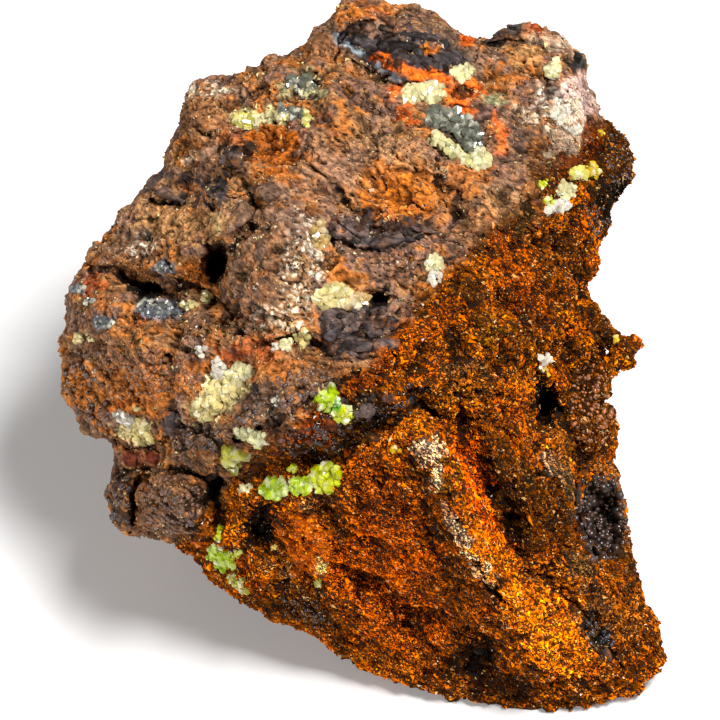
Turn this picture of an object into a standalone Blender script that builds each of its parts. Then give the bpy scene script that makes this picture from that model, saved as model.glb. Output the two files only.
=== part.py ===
"""Adamite on limonite: a loose mineral specimen, a hand's palm in size.

A porous iron-oxide rock, cut flat where it rests, carries clusters of adamite crystals in shallow
seats and a crust of dark knobs in a hollow on its right.

The rock is drawn as it is seen from in front and above. Lengths are in millimetres: u runs to the
right and v upwards across that view, and w comes towards the viewer. The outline gives the reach in
every direction, flat faces give the depth, and named spots and lines raise or lower them.
"""

from bisect import bisect_right
from math import asin, atan2, cos, exp, log, pi, radians, sin, sqrt, tau
from random import Random

import bmesh
import bpy
from mathutils import Matrix, Vector, noise
from mathutils.bvhtree import BVHTree

MM = 0.001
VIEW_TILT = radians(50)          # how far above the horizon the viewer looks from
VIEW_DISTANCE = 500              # from the viewer to the plane of the outline
OUTLINE_MIDDLE = (0.27, -0.81, 24.4)  # its place in the world, above the middle of the specimen's box
GAP = 0.3                        # between the rock and what sits in it

SPHERE_STEPS = 7                 # an icosphere of 81,920 faces, thinned out afterwards
ROCK_TRIANGLES = 4400
EDGE_POWER = 4                   # the larger, the flatter the rock up to its outline
OUTLINE_BAND = radians(16)       # how far round the edge the outline's own detail carries
OUTLINE_SOFTENING = radians(9)   # beyond that band the outline is averaged this far both ways
WALL_DENTS = 3.4                 # the deepest that creases cut into the sides, away from the outline
RIM_SWAY = 4.0                   # how far the outline's edge sways to and from the viewer, at its top
FACE_BLEND = 0.9                 # how softly neighbouring faces meet

LUMPS = [(7.5, 3.2), (3.6, 1.7)] # rounded lumps with creases between them: size and height
WAVES = [(15.0, 1.8), (2.4, 0.9)]  # gentler rise and fall
CALM = 11.0                      # size of the stretches that are rougher or calmer
THIN_ANGLE = radians(0.5)        # faces that meet flatter than this are one face

# The outline, anticlockwise from the right, as the viewer sees it.
OUTLINE = [
    (26.6, 2.9), (25.5, 5.9), (24.2, 8.4), (25.5, 11.0), (25.8, 13.6), (27.0, 15.2), (27.1, 17.6),
    (29.0, 19.4), (29.6, 20.9), (29.2, 22.9), (28.4, 24.7), (27.4, 26.4), (25.7, 27.1), (25.3, 28.9),
    (24.0, 31.3), (24.2, 33.2), (22.4, 35.0), (20.0, 37.1), (17.9, 37.5), (15.4, 36.5), (12.6, 35.6),
    (10.1, 36.2), (8.4, 37.6), (6.3, 38.7), (4.5, 39.4), (2.7, 39.0), (1.2, 40.1), (-0.6, 40.8),
    (-2.3, 40.5), (-3.7, 37.7), (-5.8, 36.3), (-6.6, 34.4), (-8.8, 33.2), (-10.3, 33.5), (-11.8, 32.1),
    (-15.4, 31.4), (-19.2, 31.0), (-20.0, 28.6), (-20.7, 24.9), (-22.4, 21.4), (-24.7, 18.7),
    (-27.5, 15.8), (-29.4, 13.0), (-31.8, 9.6), (-33.0, 6.6), (-33.0, 3.4), (-33.5, -0.3),
    (-33.1, -3.8), (-31.8, -6.4), (-30.4, -8.0), (-27.8, -8.4), (-27.2, -10.2), (-27.6, -12.6),
    (-28.4, -15.0), (-28.0, -17.4), (-26.4, -19.0), (-23.5, -19.2), (-19.9, -20.4), (-16.4, -24.1),
    (-12.7, -26.6), (-9.9, -28.1), (-5.6, -29.5), (-3.0, -31.9), (0.2, -33.7), (3.7, -34.9),
    (10.3, -37.1), (16.9, -38.0), (24.0, -38.1), (29.6, -36.4), (32.7, -33.3), (33.0, -31.9),
    (32.0, -29.2), (30.6, -26.8), (30.2, -23.4), (28.9, -20.2), (28.5, -15.7), (27.9, -12.6),
    (27.1, -11.0), (27.5, -8.6), (27.2, -5.6), (25.4, -3.0), (26.0, -0.6),
]

# Flat faces of the front: a point on the face, its depth there, and the rise per mm along u and v.
FRONT_FACES = {
    "upper slope": (2.0, 15.0, 19.0, -0.10, -0.45),
    "lower left": (6.6, -9.1, 24.5, 0.05, 0.70),
    "right": (6.6, -9.1, 24.0, -0.62, 0.14),
    "left": (-20.0, 5.0, 16.5, 0.68, -0.12),
    "middle": (0.0, 0.0, 23.5, -0.05, -0.05),
}

# The same for the side that faces away, where depth is measured backwards.
BACK_FACES = {
    "upper back": (0.0, 20.0, 19.0, 0.08, -0.62),
    "left under": (-20.0, 0.0, 18.0, 0.95, -0.30),
    "right back": (20.0, 5.0, 24.0, -1.05, -0.45),
    "far back": (0.0, 0.0, 33.0, -0.12, -0.10),
}

# Rounded swellings (height above 0) and hollows: u, v, half length, half width, turn, height.
FRONT_SPOTS = {
    "central bulge": (-9.5, 12.5, 9.0, 7.0, 60, 3.4),
    "left lobe": (-25.5, 1.0, 8.5, 6.5, -20, 3.0),
    "left lobe foot": (-27.5, -6.0, 4.5, 3.5, 0, 1.6),
    "ribbed nodule": (-21.3, -16.3, 5.4, 4.4, 0, 4.4),
    "outer nodule": (-27.0, -15.8, 4.0, 2.3, 90, 2.4),
    "red knob": (-24.8, -11.0, 2.8, 2.0, -10, 2.0),
    "block above the crevice": (-13.0, -7.0, 6.0, 3.5, 15, 2.2),
    "black hole": (-16.2, 11.2, 3.2, 2.0, 80, -7.0),
    "left cavity": (-23.7, 8.6, 3.4, 2.0, -10, -3.4),
    "ochre hollow": (-10.3, 24.0, 4.4, 2.6, -5, -3.4),
    "rim of the ochre hollow": (-10.7, 27.0, 5.2, 1.9, 5, 1.5),
    "pointed block": (-14.4, 15.9, 2.6, 2.2, 20, 2.6),
    "middle hole": (1.3, 6.7, 2.0, 1.6, 0, -3.2),
    "crest top": (1.0, 38.0, 5.5, 3.0, 0, 2.4),
    "black crest": (7.0, 34.3, 6.5, 3.0, -25, 2.2),
    "crest knob": (6.6, 35.4, 1.8, 1.6, 0, 1.2),
    "inner shoulder knob": (14.2, 33.6, 3.4, 2.6, 0, 2.0),
    "outer shoulder knob": (19.8, 33.0, 3.4, 2.8, 0, 2.4),
    "shoulder end": (22.8, 29.0, 2.8, 2.4, 0, 1.4),
    "right ear": (28.0, 22.2, 3.8, 2.6, 70, 3.0),
    "seat of the grey patch": (10.7, 24.4, 4.6, 3.6, 60, -1.2),
    "top left shoulder": (-17.2, 27.2, 4.6, 3.4, 10, 2.4),
    "upper left face": (-22.8, 17.6, 6.0, 4.0, 45, 1.5),
    "upper left hollow": (-18.8, 20.0, 3.4, 2.0, 40, -2.2),
    "middle slope": (3.0, 17.5, 9.0, 6.0, 20, 1.0),
    "flaky step": (1.0, 11.5, 6.5, 2.2, 15, 1.6),
    "right slope": (17.0, 4.5, 8.0, 6.0, 40, 1.6),
    "red slope hollow": (15.5, 13.2, 5.5, 3.6, 40, -1.5),
    "right pit": (19.6, -4.6, 3.9, 2.4, 105, -5.5),
    "lump beside the pit": (24.6, -7.4, 4.2, 2.8, 90, 2.0),
    "hollow with the knobs": (25.7, -16.8, 6.2, 3.5, 102, -6.5),
    "orange dome": (-4.6, -19.6, 5.2, 4.2, 30, 1.6),
    "dark lower hollow": (-11.4, -18.2, 4.0, 2.4, 70, -2.2),
    "foot hollow": (12.6, -32.4, 4.0, 2.8, 20, -2.8),
    "foot crack": (13.8, -28.2, 2.8, 1.5, 80, -1.6),
    "right foot": (26.5, -33.0, 6.0, 4.0, 20, 2.0),
    "grey foot hollow": (25.2, -29.6, 2.6, 2.2, 0, -1.6),
    "foot ledge": (2.5, -30.6, 6.0, 2.6, -20, 1.5),
    "face lump by the crevice": (-8.0, -15.8, 3.2, 2.2, 20, 1.4),
    "face lump by the ridge": (4.6, -14.0, 4.2, 2.8, 60, 1.6),
    "face hollow": (1.6, -22.6, 4.0, 2.4, 40, -1.8),
    "low face lump": (-2.6, -26.4, 4.4, 2.6, -25, 1.7),
    "low face hollow": (6.8, -28.0, 3.2, 2.2, 10, -1.5),
    "edge of the lower left": (-12.4, -23.2, 4.0, 2.4, -45, 1.5),
    "slope knob": (-2.4, 26.4, 3.6, 2.4, 30, 1.5),
    "slope hollow": (-5.6, 19.6, 3.4, 2.2, 60, -1.6),
    "ledge on the right": (20.6, 9.0, 5.0, 2.4, 70, 1.6),
    "brow over the left patch": (-18.6, 3.4, 4.0, 2.2, 15, 2.0),
    "lump below the bulge": (-9.6, -1.6, 4.6, 2.8, 10, 1.8),
    "hollow below the bulge": (-5.4, 2.0, 2.8, 1.8, 0, -1.8),
    "dark block": (1.6, -3.4, 4.0, 2.6, -25, 1.6),
    "hollow in the dark block": (1.6, -7.0, 3.0, 1.8, 20, -2.2),
}

BACK_SPOTS = {
    "upper back hollow": (6.0, 26.0, 8.0, 5.0, 20, -3.0),
    "upper back knob": (-9.0, 27.0, 5.0, 4.0, 0, 2.4),
    "back shelf": (-4.0, 14.0, 11.0, 4.0, -15, 2.6),
    "back pit": (9.0, 11.0, 4.0, 3.0, 40, -4.0),
    "left back lump": (-22.0, 12.0, 7.0, 5.0, 50, 2.4),
    "left under hollow": (-24.0, -1.0, 6.0, 4.0, -10, -2.6),
    "right back lump": (22.0, 14.0, 6.0, 4.5, 80, 2.2),
    "right back hollow": (22.0, -1.0, 5.5, 4.0, 100, -3.0),
    "right back foot": (27.0, -18.0, 6.0, 4.0, 90, 2.0),
}

# Ridges (height above 0) and crevices: half width, height, and the points they run through.
FRONT_LINES = {
    "pale ridge": (2.6, 2.6, [(5.6, -7.2), (8.8, -13.0), (10.7, -20.1), (14.8, -26.2), (19.8, -33.9)]),
    "red valley": (3.4, -3.4, [(9.6, -7.6), (12.8, -14.1), (16.0, -19.6), (20.0, -25.5)]),
    "crevice under the block": (2.3, -4.2, [(-16.8, -17.0), (-15.6, -12.8), (-11.3, -11.7), (-7.2, -11.0),
                                            (-2.8, -9.7), (1.7, -7.2), (6.6, -4.6)]),
    "fold of the left lobe": (2.2, -3.2, [(-27.0, 8.2), (-22.0, 7.4), (-17.8, 8.6), (-15.4, 6.0)]),
    "step over the nodules": (1.6, -2.6, [(-27.6, -8.6), (-23.6, -13.0), (-19.6, -12.0), (-16.6, -12.4)]),
    "gap between the nodules": (1.2, -2.6, [(-25.4, -13.4), (-25.4, -16.0), (-24.6, -19.0)]),
    "blue seam": (1.4, -1.6, [(-2.4, 35.6), (1.0, 32.6), (4.0, 30.4)]),
    "undercut of the ear": (2.0, -3.6, [(28.2, 18.4), (26.2, 16.0), (25.4, 12.6)]),
    "gap behind the branch": (1.2, -4.0, [(26.2, 2.2), (25.2, -0.8)]),
    "long step": (1.8, -1.4, [(-6.0, 31.0), (-3.6, 24.0), (0.5, 19.6), (9.0, 15.6), (15.0, 17.6)]),
    "brown band": (2.4, 1.4, [(-8.0, -4.8), (-1.0, -0.6), (5.0, 2.6), (12.0, 9.0)]),
    "upper rib": (1.0, 1.2, [(-24.6, -14.4), (-21.4, -13.4), (-17.8, -14.2)]),
    "middle rib": (1.0, 1.2, [(-25.2, -16.4), (-21.4, -15.8), (-17.4, -16.6)]),
    "lower rib": (1.0, 1.2, [(-24.4, -18.6), (-21.2, -18.2), (-18.0, -18.8)]),
}

# The knobbly branch that stands off the right side: lumps given by u, v, w and radius.
BRANCH = [
    (25.2, -2.4, 3.0, 1.9), (26.6, -0.9, 3.2, 1.4), (27.7, 0.4, 3.2, 1.4), (28.6, 1.5, 3.2, 1.35),
    (29.8, 2.3, 3.0, 0.9), (29.0, 0.0, 2.6, 0.95), (27.2, 2.4, 2.8, 1.15), (25.8, 3.7, 2.4, 1.5),
]
BRANCH_TRIANGLES = 220

# The crust of dark knobs in the right hollow: middle u, v, half length, half width, turn, knob size
# and number of knobs, as for a cluster below.
CRUST = (25.7, -16.9, 4.9, 2.5, 102, 2.7, 7)
KNOB_STEPS = 1                   # an icosahedron

# Clusters of adamite: middle u, v, half length, half width, turn, crystal size, number of crystals.
CLUSTERS = {
    "adamite_rim": (-10.6, 26.6, 3.7, 0.9, 6, 1.25, 5),
    "adamite_crest_left": (6.4, 29.6, 2.0, 1.1, 10, 1.2, 4),
    "adamite_crest_right": (10.4, 31.8, 1.1, 0.9, 0, 1.1, 3),
    "adamite_grey_patch": (10.8, 24.3, 3.2, 2.3, -50, 1.5, 7),
    "adamite_shoulder": (21.6, 27.6, 1.9, 0.9, -70, 1.1, 3),
    "adamite_centre": (-2.7, 7.3, 2.7, 1.4, 8, 1.45, 5),
    "adamite_bulge": (-4.8, 13.4, 1.2, 0.9, 80, 1.1, 3),
    "adamite_slope": (7.7, 10.1, 1.3, 1.0, 70, 1.2, 3),
    "adamite_left": (-16.0, -2.6, 3.8, 1.9, 55, 1.45, 7),
    "adamite_lobe": (-25.2, -7.3, 1.9, 1.0, -25, 1.3, 3),
    "adamite_block_low": (-14.4, -10.2, 0.9, 0.8, 0, 1.25, 2),
    "adamite_block_high": (-12.2, -8.6, 1.2, 0.7, 40, 1.1, 3),
    "adamite_green_high": (-3.4, -4.5, 1.5, 1.1, -20, 1.3, 4),
    "adamite_green_left": (-10.0, -13.8, 1.3, 1.1, 0, 1.35, 3),
    "adamite_green_right": (-5.2, -13.2, 2.2, 1.0, 12, 1.3, 4),
    "adamite_nodule": (-15.3, -21.2, 2.7, 1.1, -58, 1.3, 4),
    "adamite_ear_yellow": (24.4, 20.8, 1.1, 0.8, 10, 1.0, 2),
    "adamite_ear_cream": (21.9, 17.9, 1.5, 1.0, 35, 1.15, 3),
}
SEAT_BLOCK = 30                  # the block that seats are cut out of, larger than any
PLUG_THICKNESS = 1.1             # half the thickness of a cluster's root
CRYSTAL_LIFT = 0.15              # how far a crystal's middle lies above the rock's surface
CRYSTAL_LEAN = radians(32)       # the most a crystal leans from the surface's normal
CRYSTAL_STRETCH = 1.35           # length over width
CRYSTAL_SIZES = (0.8, 1.2)       # smallest and largest, as shares of the cluster's crystal size
FACE_GROWTH = (0.88, 1.1)        # no crystal grows alike on all its faces
CELL = (8.30, 8.52, 6.04)        # adamite's unit cell, which sets the angles of its faces

MATERIALS = {
    "limonite": ((0.21, 0.085, 0.03), 0.85),
    "pale adamite": ((0.72, 0.66, 0.34), 0.25),
    "green adamite": ((0.55, 0.72, 0.04), 0.2),
    "dark knobs": ((0.03, 0.027, 0.03), 0.3),
}


def clear_scene():
    for thing in list(bpy.data.objects):
        bpy.data.objects.remove(thing, do_unlink=True)


def new_collection(name):
    collection = bpy.data.collections.new(name)
    bpy.context.scene.collection.children.link(collection)
    return collection


def new_object(name, mesh_work, collection):
    mesh = bpy.data.meshes.new(name)
    mesh_work.to_mesh(mesh)
    mesh_work.free()
    thing = bpy.data.objects.new(name, mesh)
    collection.objects.link(thing)
    return thing


def new_material(name, label):
    colour, roughness = MATERIALS[label]
    material = bpy.data.materials.new(name)
    material.use_nodes = True
    shader = material.node_tree.nodes["Principled BSDF"]
    shader.inputs["Base Color"].default_value = (*colour, 1)
    shader.inputs["Roughness"].default_value = roughness
    shader.inputs["Metallic"].default_value = 0
    return material


def to_world(u, v, w):
    """The place in the world, in metres, of a point that the viewer sees at u, v, at depth w."""
    taper = 1 - w / VIEW_DISTANCE
    across = u * taper
    up = v * taper
    place = Vector((across,
                    up * sin(VIEW_TILT) - w * cos(VIEW_TILT),
                    up * cos(VIEW_TILT) + w * sin(VIEW_TILT)))
    return (place + Vector(OUTLINE_MIDDLE)) * MM


def outline_table():
    """The outline's corners by rising angle, closed on itself."""
    corners = sorted((atan2(v, u) % tau, u, v) for u, v in OUTLINE)
    first = corners[0]
    last = corners[-1]
    return [(last[0] - tau, *last[1:]), *corners, (first[0] + tau, *first[1:])]


def reach(corners, angle):
    """How far the outline lies from the middle in a direction."""
    place = bisect_right(corners, (angle % tau,))
    _, start_u, start_v = corners[place - 1]
    _, end_u, end_v = corners[place]
    run_u = end_u - start_u
    run_v = end_v - start_v
    return (start_u * end_v - start_v * end_u) / (cos(angle) * run_v - sin(angle) * run_u)


def depth_of_faces(faces, u, v):
    """The least depth of the faces at a point, blended softly where two are nearly equal."""
    total = 0
    for face_u, face_v, depth, rise_u, rise_v in faces.values():
        here = depth + rise_u * (u - face_u) + rise_v * (v - face_v)
        total += exp(-here / FACE_BLEND)
    return -FACE_BLEND * log(total)


def spot_height(spot, u, v):
    spot_u, spot_v, half_length, half_width, turn, height = spot
    along = cos(radians(turn)) * (u - spot_u) + sin(radians(turn)) * (v - spot_v)
    aside = cos(radians(turn)) * (v - spot_v) - sin(radians(turn)) * (u - spot_u)
    nearness = 1 - (along / half_length) ** 2 - (aside / half_width) ** 2
    return height * nearness ** 1.5 if nearness > 0 else 0


def line_height(line, u, v):
    half_width, height, points = line
    nearest = half_width
    for (start_u, start_v), (end_u, end_v) in zip(points, points[1:]):
        run_u = end_u - start_u
        run_v = end_v - start_v
        share = ((u - start_u) * run_u + (v - start_v) * run_v) / (run_u ** 2 + run_v ** 2)
        share = min(max(share, 0), 1)
        off_u = u - start_u - share * run_u
        off_v = v - start_v - share * run_v
        nearest = min(nearest, sqrt(off_u ** 2 + off_v ** 2))
    return height * (1 - (nearest / half_width) ** 2) ** 1.5


def roughness(place):
    """How far lumps, creases and waves raise the surface at a place in space, in millimetres."""
    height = 0
    for size, rise in LUMPS:
        nearest_lump = noise.voronoi(place / size)[0][0]
        height += rise * (0.35 - nearest_lump ** 2)
    for size, rise in WAVES:
        height += rise * noise.noise(place / size)
    return height * (0.8 + 0.5 * noise.noise(place / CALM))


def soft_reach(corners, angle):
    """The outline's reach without its small detail."""
    steps = (-2, -1, 0, 1, 2)
    return sum(reach(corners, angle + step * OUTLINE_SOFTENING / 2) for step in steps) / len(steps)


def rock_point(direction, corners):
    """Where the rock's surface lies for a point of the unit sphere around the middle."""
    share = min(sqrt(direction.x ** 2 + direction.y ** 2), 1)
    angle = atan2(direction.y, direction.x)
    edge = sqrt(1 - share ** EDGE_POWER)
    detail = exp(-((pi / 2 - asin(share)) / OUTLINE_BAND) ** 2)
    sharp = reach(corners, angle)
    distance = min(share * (detail * sharp + (1 - detail) * soft_reach(corners, angle)), sharp)
    u = distance * cos(angle)
    v = distance * sin(angle)
    facing = direction.z >= 0
    depth = depth_of_faces(FRONT_FACES if facing else BACK_FACES, u, v)
    rough = roughness(Vector((u, v, depth * edge if facing else -depth * edge)))
    dent = WALL_DENTS * share * (1 - detail) * min(max(0.5 - rough / 4, 0), 1)
    u -= dent * cos(angle)
    v -= dent * sin(angle)
    spots, lines = (FRONT_SPOTS, FRONT_LINES) if facing else (BACK_SPOTS, {})
    relief = sum(spot_height(spot, u, v) for spot in spots.values())
    relief += sum(line_height(line, u, v) for line in lines.values())
    height = (depth + relief + rough) * edge
    rim = RIM_SWAY * share ** 4 * (1 + sin(angle)) * noise.noise(Vector((2 * cos(angle), 2 * sin(angle), 0)))
    return to_world(u, v, rim + (height if facing else -height))


def thin_out(thing, triangles):
    """Bring an object's mesh down to a number of triangles."""
    modifier = thing.modifiers.new("Thin out", "DECIMATE")
    modifier.ratio = triangles / len(thing.data.polygons)
    apply_modifiers(thing)


def apply_modifiers(thing):
    evaluated = thing.evaluated_get(bpy.context.evaluated_depsgraph_get())
    mesh = bpy.data.meshes.new_from_object(evaluated)
    thing.modifiers.clear()
    thing.data = mesh


def join(thing, others):
    """Join closed objects to one, which stays a single closed body."""
    for other in others:
        modifier = thing.modifiers.new("Join", "BOOLEAN")
        modifier.operation = "UNION"
        modifier.object = other
        apply_modifiers(thing)
        bpy.data.objects.remove(other, do_unlink=True)


def merge_flat_faces(thing):
    """Make one face of the pieces that a join leaves of a flat one."""
    work = bmesh.new()
    work.from_mesh(thing.data)
    bmesh.ops.dissolve_limit(work, angle_limit=THIN_ANGLE, verts=work.verts, edges=work.edges)
    work.to_mesh(thing.data)
    work.free()


def cut_flat(thing):
    """Cut the rock off level at the height it rests on, and close the cut."""
    work = bmesh.new()
    work.from_mesh(thing.data)
    everything = [*work.verts, *work.edges, *work.faces]
    cut = bmesh.ops.bisect_plane(work, geom=everything, plane_co=(0, 0, 0), plane_no=(0, 0, -1),
                                 clear_outer=True)
    rim = [piece for piece in cut["geom_cut"] if isinstance(piece, bmesh.types.BMEdge)]
    bmesh.ops.edgeloop_fill(work, edges=rim)
    work.to_mesh(thing.data)
    work.free()


def branch_lump(u, v, w, radius, collection):
    work = bmesh.new()
    bmesh.ops.create_icosphere(work, subdivisions=2, radius=radius * MM)
    bmesh.ops.translate(work, verts=work.verts, vec=to_world(u, v, w))
    return new_object("branch lump", work, collection)


def make_rock(collection):
    corners = outline_table()
    work = bmesh.new()
    bmesh.ops.create_icosphere(work, subdivisions=SPHERE_STEPS, radius=1)
    for vertex in work.verts:
        vertex.co = rock_point(vertex.co.normalized(), corners)
    rock = new_object("limonite_matrix", work, collection)
    thin_out(rock, ROCK_TRIANGLES)
    cut_flat(rock)
    branch, *others = [branch_lump(*place, collection) for place in BRANCH]
    join(branch, others)
    thin_out(branch, BRANCH_TRIANGLES)
    join(rock, [branch])
    rock.data.materials.append(new_material("limonite", "limonite"))
    return rock


def view_ray(u, v):
    """The eye, and the direction in which it sees the point u, v of the outline's plane."""
    eye = to_world(0, 0, VIEW_DISTANCE)
    return eye, (to_world(u, v, 0) - eye).normalized()


def surface_finder(rock):
    work = bmesh.new()
    work.from_mesh(rock.data)
    tree = BVHTree.FromBMesh(work)
    work.free()

    def find(u, v):
        place, normal, _, _ = tree.ray_cast(*view_ray(u, v))
        return place, normal

    return find


def block_between(planes, size):
    """The block that a set of planes encloses, each given by its direction and its distance."""
    work = bmesh.new()
    bmesh.ops.create_cube(work, size=size)
    for direction, distance in planes:
        everything = [*work.verts, *work.edges, *work.faces]
        cut = bmesh.ops.bisect_plane(work, geom=everything, plane_co=direction * distance,
                                     plane_no=direction, clear_outer=True)
        rim = [piece for piece in cut["geom_cut"] if isinstance(piece, bmesh.types.BMEdge)]
        if rim:
            bmesh.ops.edgeloop_fill(work, edges=rim)
    return work


def crystal_faces():
    """The directions of adamite's prism and dome faces, from its unit cell."""
    a, b, c = CELL
    prism = [(x / a, y / b, 0) for x in (1, -1) for y in (1, -1)]
    domes = [(x / a, 0, z / c) for x in (1, -1) for z in (1, -1)]
    return [Vector(face).normalized() for face in prism + domes]


def add_crystal(place, turn, size, chance, collection):
    """One wedge-ended adamite crystal."""
    planes = []
    for face in crystal_faces():
        half_size = 0.5 + 0.5 * (CRYSTAL_STRETCH - 1) * abs(face.z)
        planes.append((face, half_size * chance.uniform(*FACE_GROWTH)))
    work = block_between(planes, 4)
    shape = Matrix.Translation(place) @ turn.to_4x4() @ Matrix.Scale(size * MM, 4)
    bmesh.ops.transform(work, matrix=shape, verts=work.verts)
    return new_object("crystal", work, collection)


def seat_frame(normal, spin):
    """A turn that carries the z axis to the surface's normal, after a spin about it."""
    return normal.to_track_quat("Z", "Y").to_matrix() @ Matrix.Rotation(spin, 3, "Z")


def oval_places(half_length, half_width, count):
    """Places that fill an oval evenly, in a sunflower's pattern."""
    golden_angle = pi * (3 - sqrt(5))
    for number in range(count):
        share = sqrt((number + 0.5) / count)
        yield (half_length * share * cos(number * golden_angle),
               half_width * share * sin(number * golden_angle))


def add_knob(place, turn, size, chance, collection):
    """One rounded knob, a little flattened, as the crust's are."""
    work = bmesh.new()
    bmesh.ops.create_icosphere(work, subdivisions=KNOB_STEPS, radius=0.5)
    bmesh.ops.scale(work, vec=(1, chance.uniform(0.8, 1), 0.85), verts=work.verts)
    shape = Matrix.Translation(place) @ turn.to_4x4() @ Matrix.Scale(size * MM, 4)
    bmesh.ops.transform(work, matrix=shape, verts=work.verts)
    return new_object("knob", work, collection)


def make_cluster(name, cluster, add_piece, find, collection, cutters):
    """Crystals or knobs grown together on one root, and the cutter of the seat for them."""
    middle_u, middle_v, half_length, half_width, turn, size, count = cluster
    chance = Random(name)
    middle, normal = find(middle_u, middle_v)
    long_side = to_world(cos(radians(turn)), sin(radians(turn)), 0) - to_world(0, 0, 0)
    long_side = (long_side - normal * long_side.dot(normal)).normalized()
    frame = Matrix((long_side, normal.cross(long_side), normal)).transposed()
    plug = bmesh.new()
    bmesh.ops.create_icosphere(plug, subdivisions=1, radius=MM)
    bmesh.ops.scale(plug, vec=(half_length, half_width, PLUG_THICKNESS), verts=plug.verts)
    bmesh.ops.transform(plug, matrix=Matrix.Translation(middle) @ frame.to_4x4(), verts=plug.verts)
    body = new_object(name, plug, collection)
    pieces = []
    for along, aside in oval_places(half_length, half_width, count):
        lean = Vector((chance.uniform(-1, 1), chance.uniform(-1, 1), 0)) * sin(CRYSTAL_LEAN)
        axis = frame @ Vector((lean.x, lean.y, 1)).normalized()
        turn_to = seat_frame(axis, chance.uniform(0, tau))
        place = middle + frame @ Vector((along, aside, CRYSTAL_LIFT)) * MM
        pieces.append(add_piece(place, turn_to, size * chance.uniform(*CRYSTAL_SIZES), chance, collection))
    join(body, pieces)
    merge_flat_faces(body)
    add_seat(body, middle, frame, cutters)
    return body


def add_seat(body, middle, frame, cutters):
    """The seat's cutter: flat faces that clear the piece by the gap all round."""
    level = [(1, 0), (1, 1), (0, 1), (-1, 1), (-1, 0), (-1, -1), (0, -1), (1, -1)]
    faces = [(x, y, 0) for x, y in level] + [(x, y, -1) for x, y in level[::2]] + [(0, 0, 1), (0, 0, -1)]
    local = [frame.transposed() @ (vertex.co - middle) for vertex in body.data.vertices]
    planes = []
    for face in faces:
        direction = Vector(face).normalized()
        planes.append((direction, max(corner.dot(direction) for corner in local) + GAP * MM))
    work = block_between(planes, SEAT_BLOCK * MM)
    bmesh.ops.transform(work, matrix=Matrix.Translation(middle) @ frame.to_4x4(), verts=work.verts)
    cutter = new_object("seat_" + body.name, work, cutters)
    cutter.hide_render = True
    cutter.display_type = "WIRE"


def main():
    clear_scene()
    parts = new_collection("adamite_specimen")
    cutters = new_collection("cutters")
    rock = make_rock(parts)
    find = surface_finder(rock)
    crust = make_cluster("dark_knob_crust", CRUST, add_knob, find, parts, cutters)
    crust.data.materials.append(new_material("dark knobs", "dark knobs"))
    for name, cluster in CLUSTERS.items():
        body = make_cluster(name, cluster, add_crystal, find, parts, cutters)
        label = "green adamite" if "green" in name or "nodule" in name or "yellow" in name else "pale adamite"
        body.data.materials.append(new_material(name, label))
    seats = rock.modifiers.new("Seats", "BOOLEAN")
    seats.operation = "DIFFERENCE"
    seats.operand_type = "COLLECTION"
    seats.collection = cutters
    apply_modifiers(rock)
    merge_flat_faces(rock)


main()
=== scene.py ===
"""The looks of the adamite specimen: rough, rusty limonite with crystals, druse and dark knobs.

Places on the front are given as they are seen in the photograph: x to the right and y down, in its
pixels. A ray from the camera carries each of them to the rock. Turns are in degrees, against the
clock. Lengths are in millimetres, where nothing else is said.
"""

from collections import namedtuple
from math import cos, pi, radians, sin, sqrt

import bmesh
import bpy
import numpy as np
from mathutils import Matrix, Vector, noise
from mathutils.bvhtree import BVHTree


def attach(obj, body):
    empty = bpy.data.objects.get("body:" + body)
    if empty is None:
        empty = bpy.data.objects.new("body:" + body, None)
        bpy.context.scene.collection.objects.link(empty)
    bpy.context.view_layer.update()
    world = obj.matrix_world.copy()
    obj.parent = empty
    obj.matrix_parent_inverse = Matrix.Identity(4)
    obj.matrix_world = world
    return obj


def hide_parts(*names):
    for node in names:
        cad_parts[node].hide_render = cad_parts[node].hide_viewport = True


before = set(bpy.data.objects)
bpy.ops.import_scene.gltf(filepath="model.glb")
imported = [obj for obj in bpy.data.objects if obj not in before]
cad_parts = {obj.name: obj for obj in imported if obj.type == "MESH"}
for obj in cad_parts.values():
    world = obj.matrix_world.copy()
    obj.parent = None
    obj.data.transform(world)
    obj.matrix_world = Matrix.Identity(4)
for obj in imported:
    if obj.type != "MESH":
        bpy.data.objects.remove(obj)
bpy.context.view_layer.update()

MM = 0.001
SEED = 5

# The view
VIEW_TILT = radians(50)          # how high the camera stands over the horizon
VIEW_DISTANCE = 500              # from the camera to the plane of the rock's outline
OUTLINE_MIDDLE = (0.27, -0.81, 24.4)
PIXEL = 0.11                     # a pixel of the photograph on that plane
MIDDLE_PIXEL = (365, 362)        # where the outline's middle is seen
PICTURE_SIZE = 720
SENSOR = 36
RIGHT = np.array([1, 0, 0])
UP = np.array([0, sin(VIEW_TILT), cos(VIEW_TILT)])
TOWARDS = np.array([0, -cos(VIEW_TILT), sin(VIEW_TILT)])
EYE = OUTLINE_MIDDLE + VIEW_DISTANCE * TOWARDS

# The rock's shape
VOXEL = 0.2
SEAT_MARGIN = 1.3                # how far round a crystal cluster's solid its seat is filled in
SEAT_ROUNDS = 500
SOFTENING_ROUNDS = 7
EVEN_ROUNDS = 4                  # rounds that take the grit out of places and normals
HOLLOW_ROUNDS = 40               # rounds that take out whole hollows
CARVING_WANDER = 2.5             # how far carved edges stray, in pixels
BACK_TRIANGLES = 34000
DRUSE_TRIANGLES = 44000          # on the front, under the druse at the lower right
BARE_TRIANGLES = 116000          # on the front's bare rock
ROCK_TRIANGLES = 195000          # at most, in all
FABRIC_TURN = radians(-32)       # the way that the rock's fabric runs, as seen
FABRIC = cos(FABRIC_TURN) * RIGHT + sin(FABRIC_TURN) * UP
FABRIC_SQUEEZE = 0.5

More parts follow.
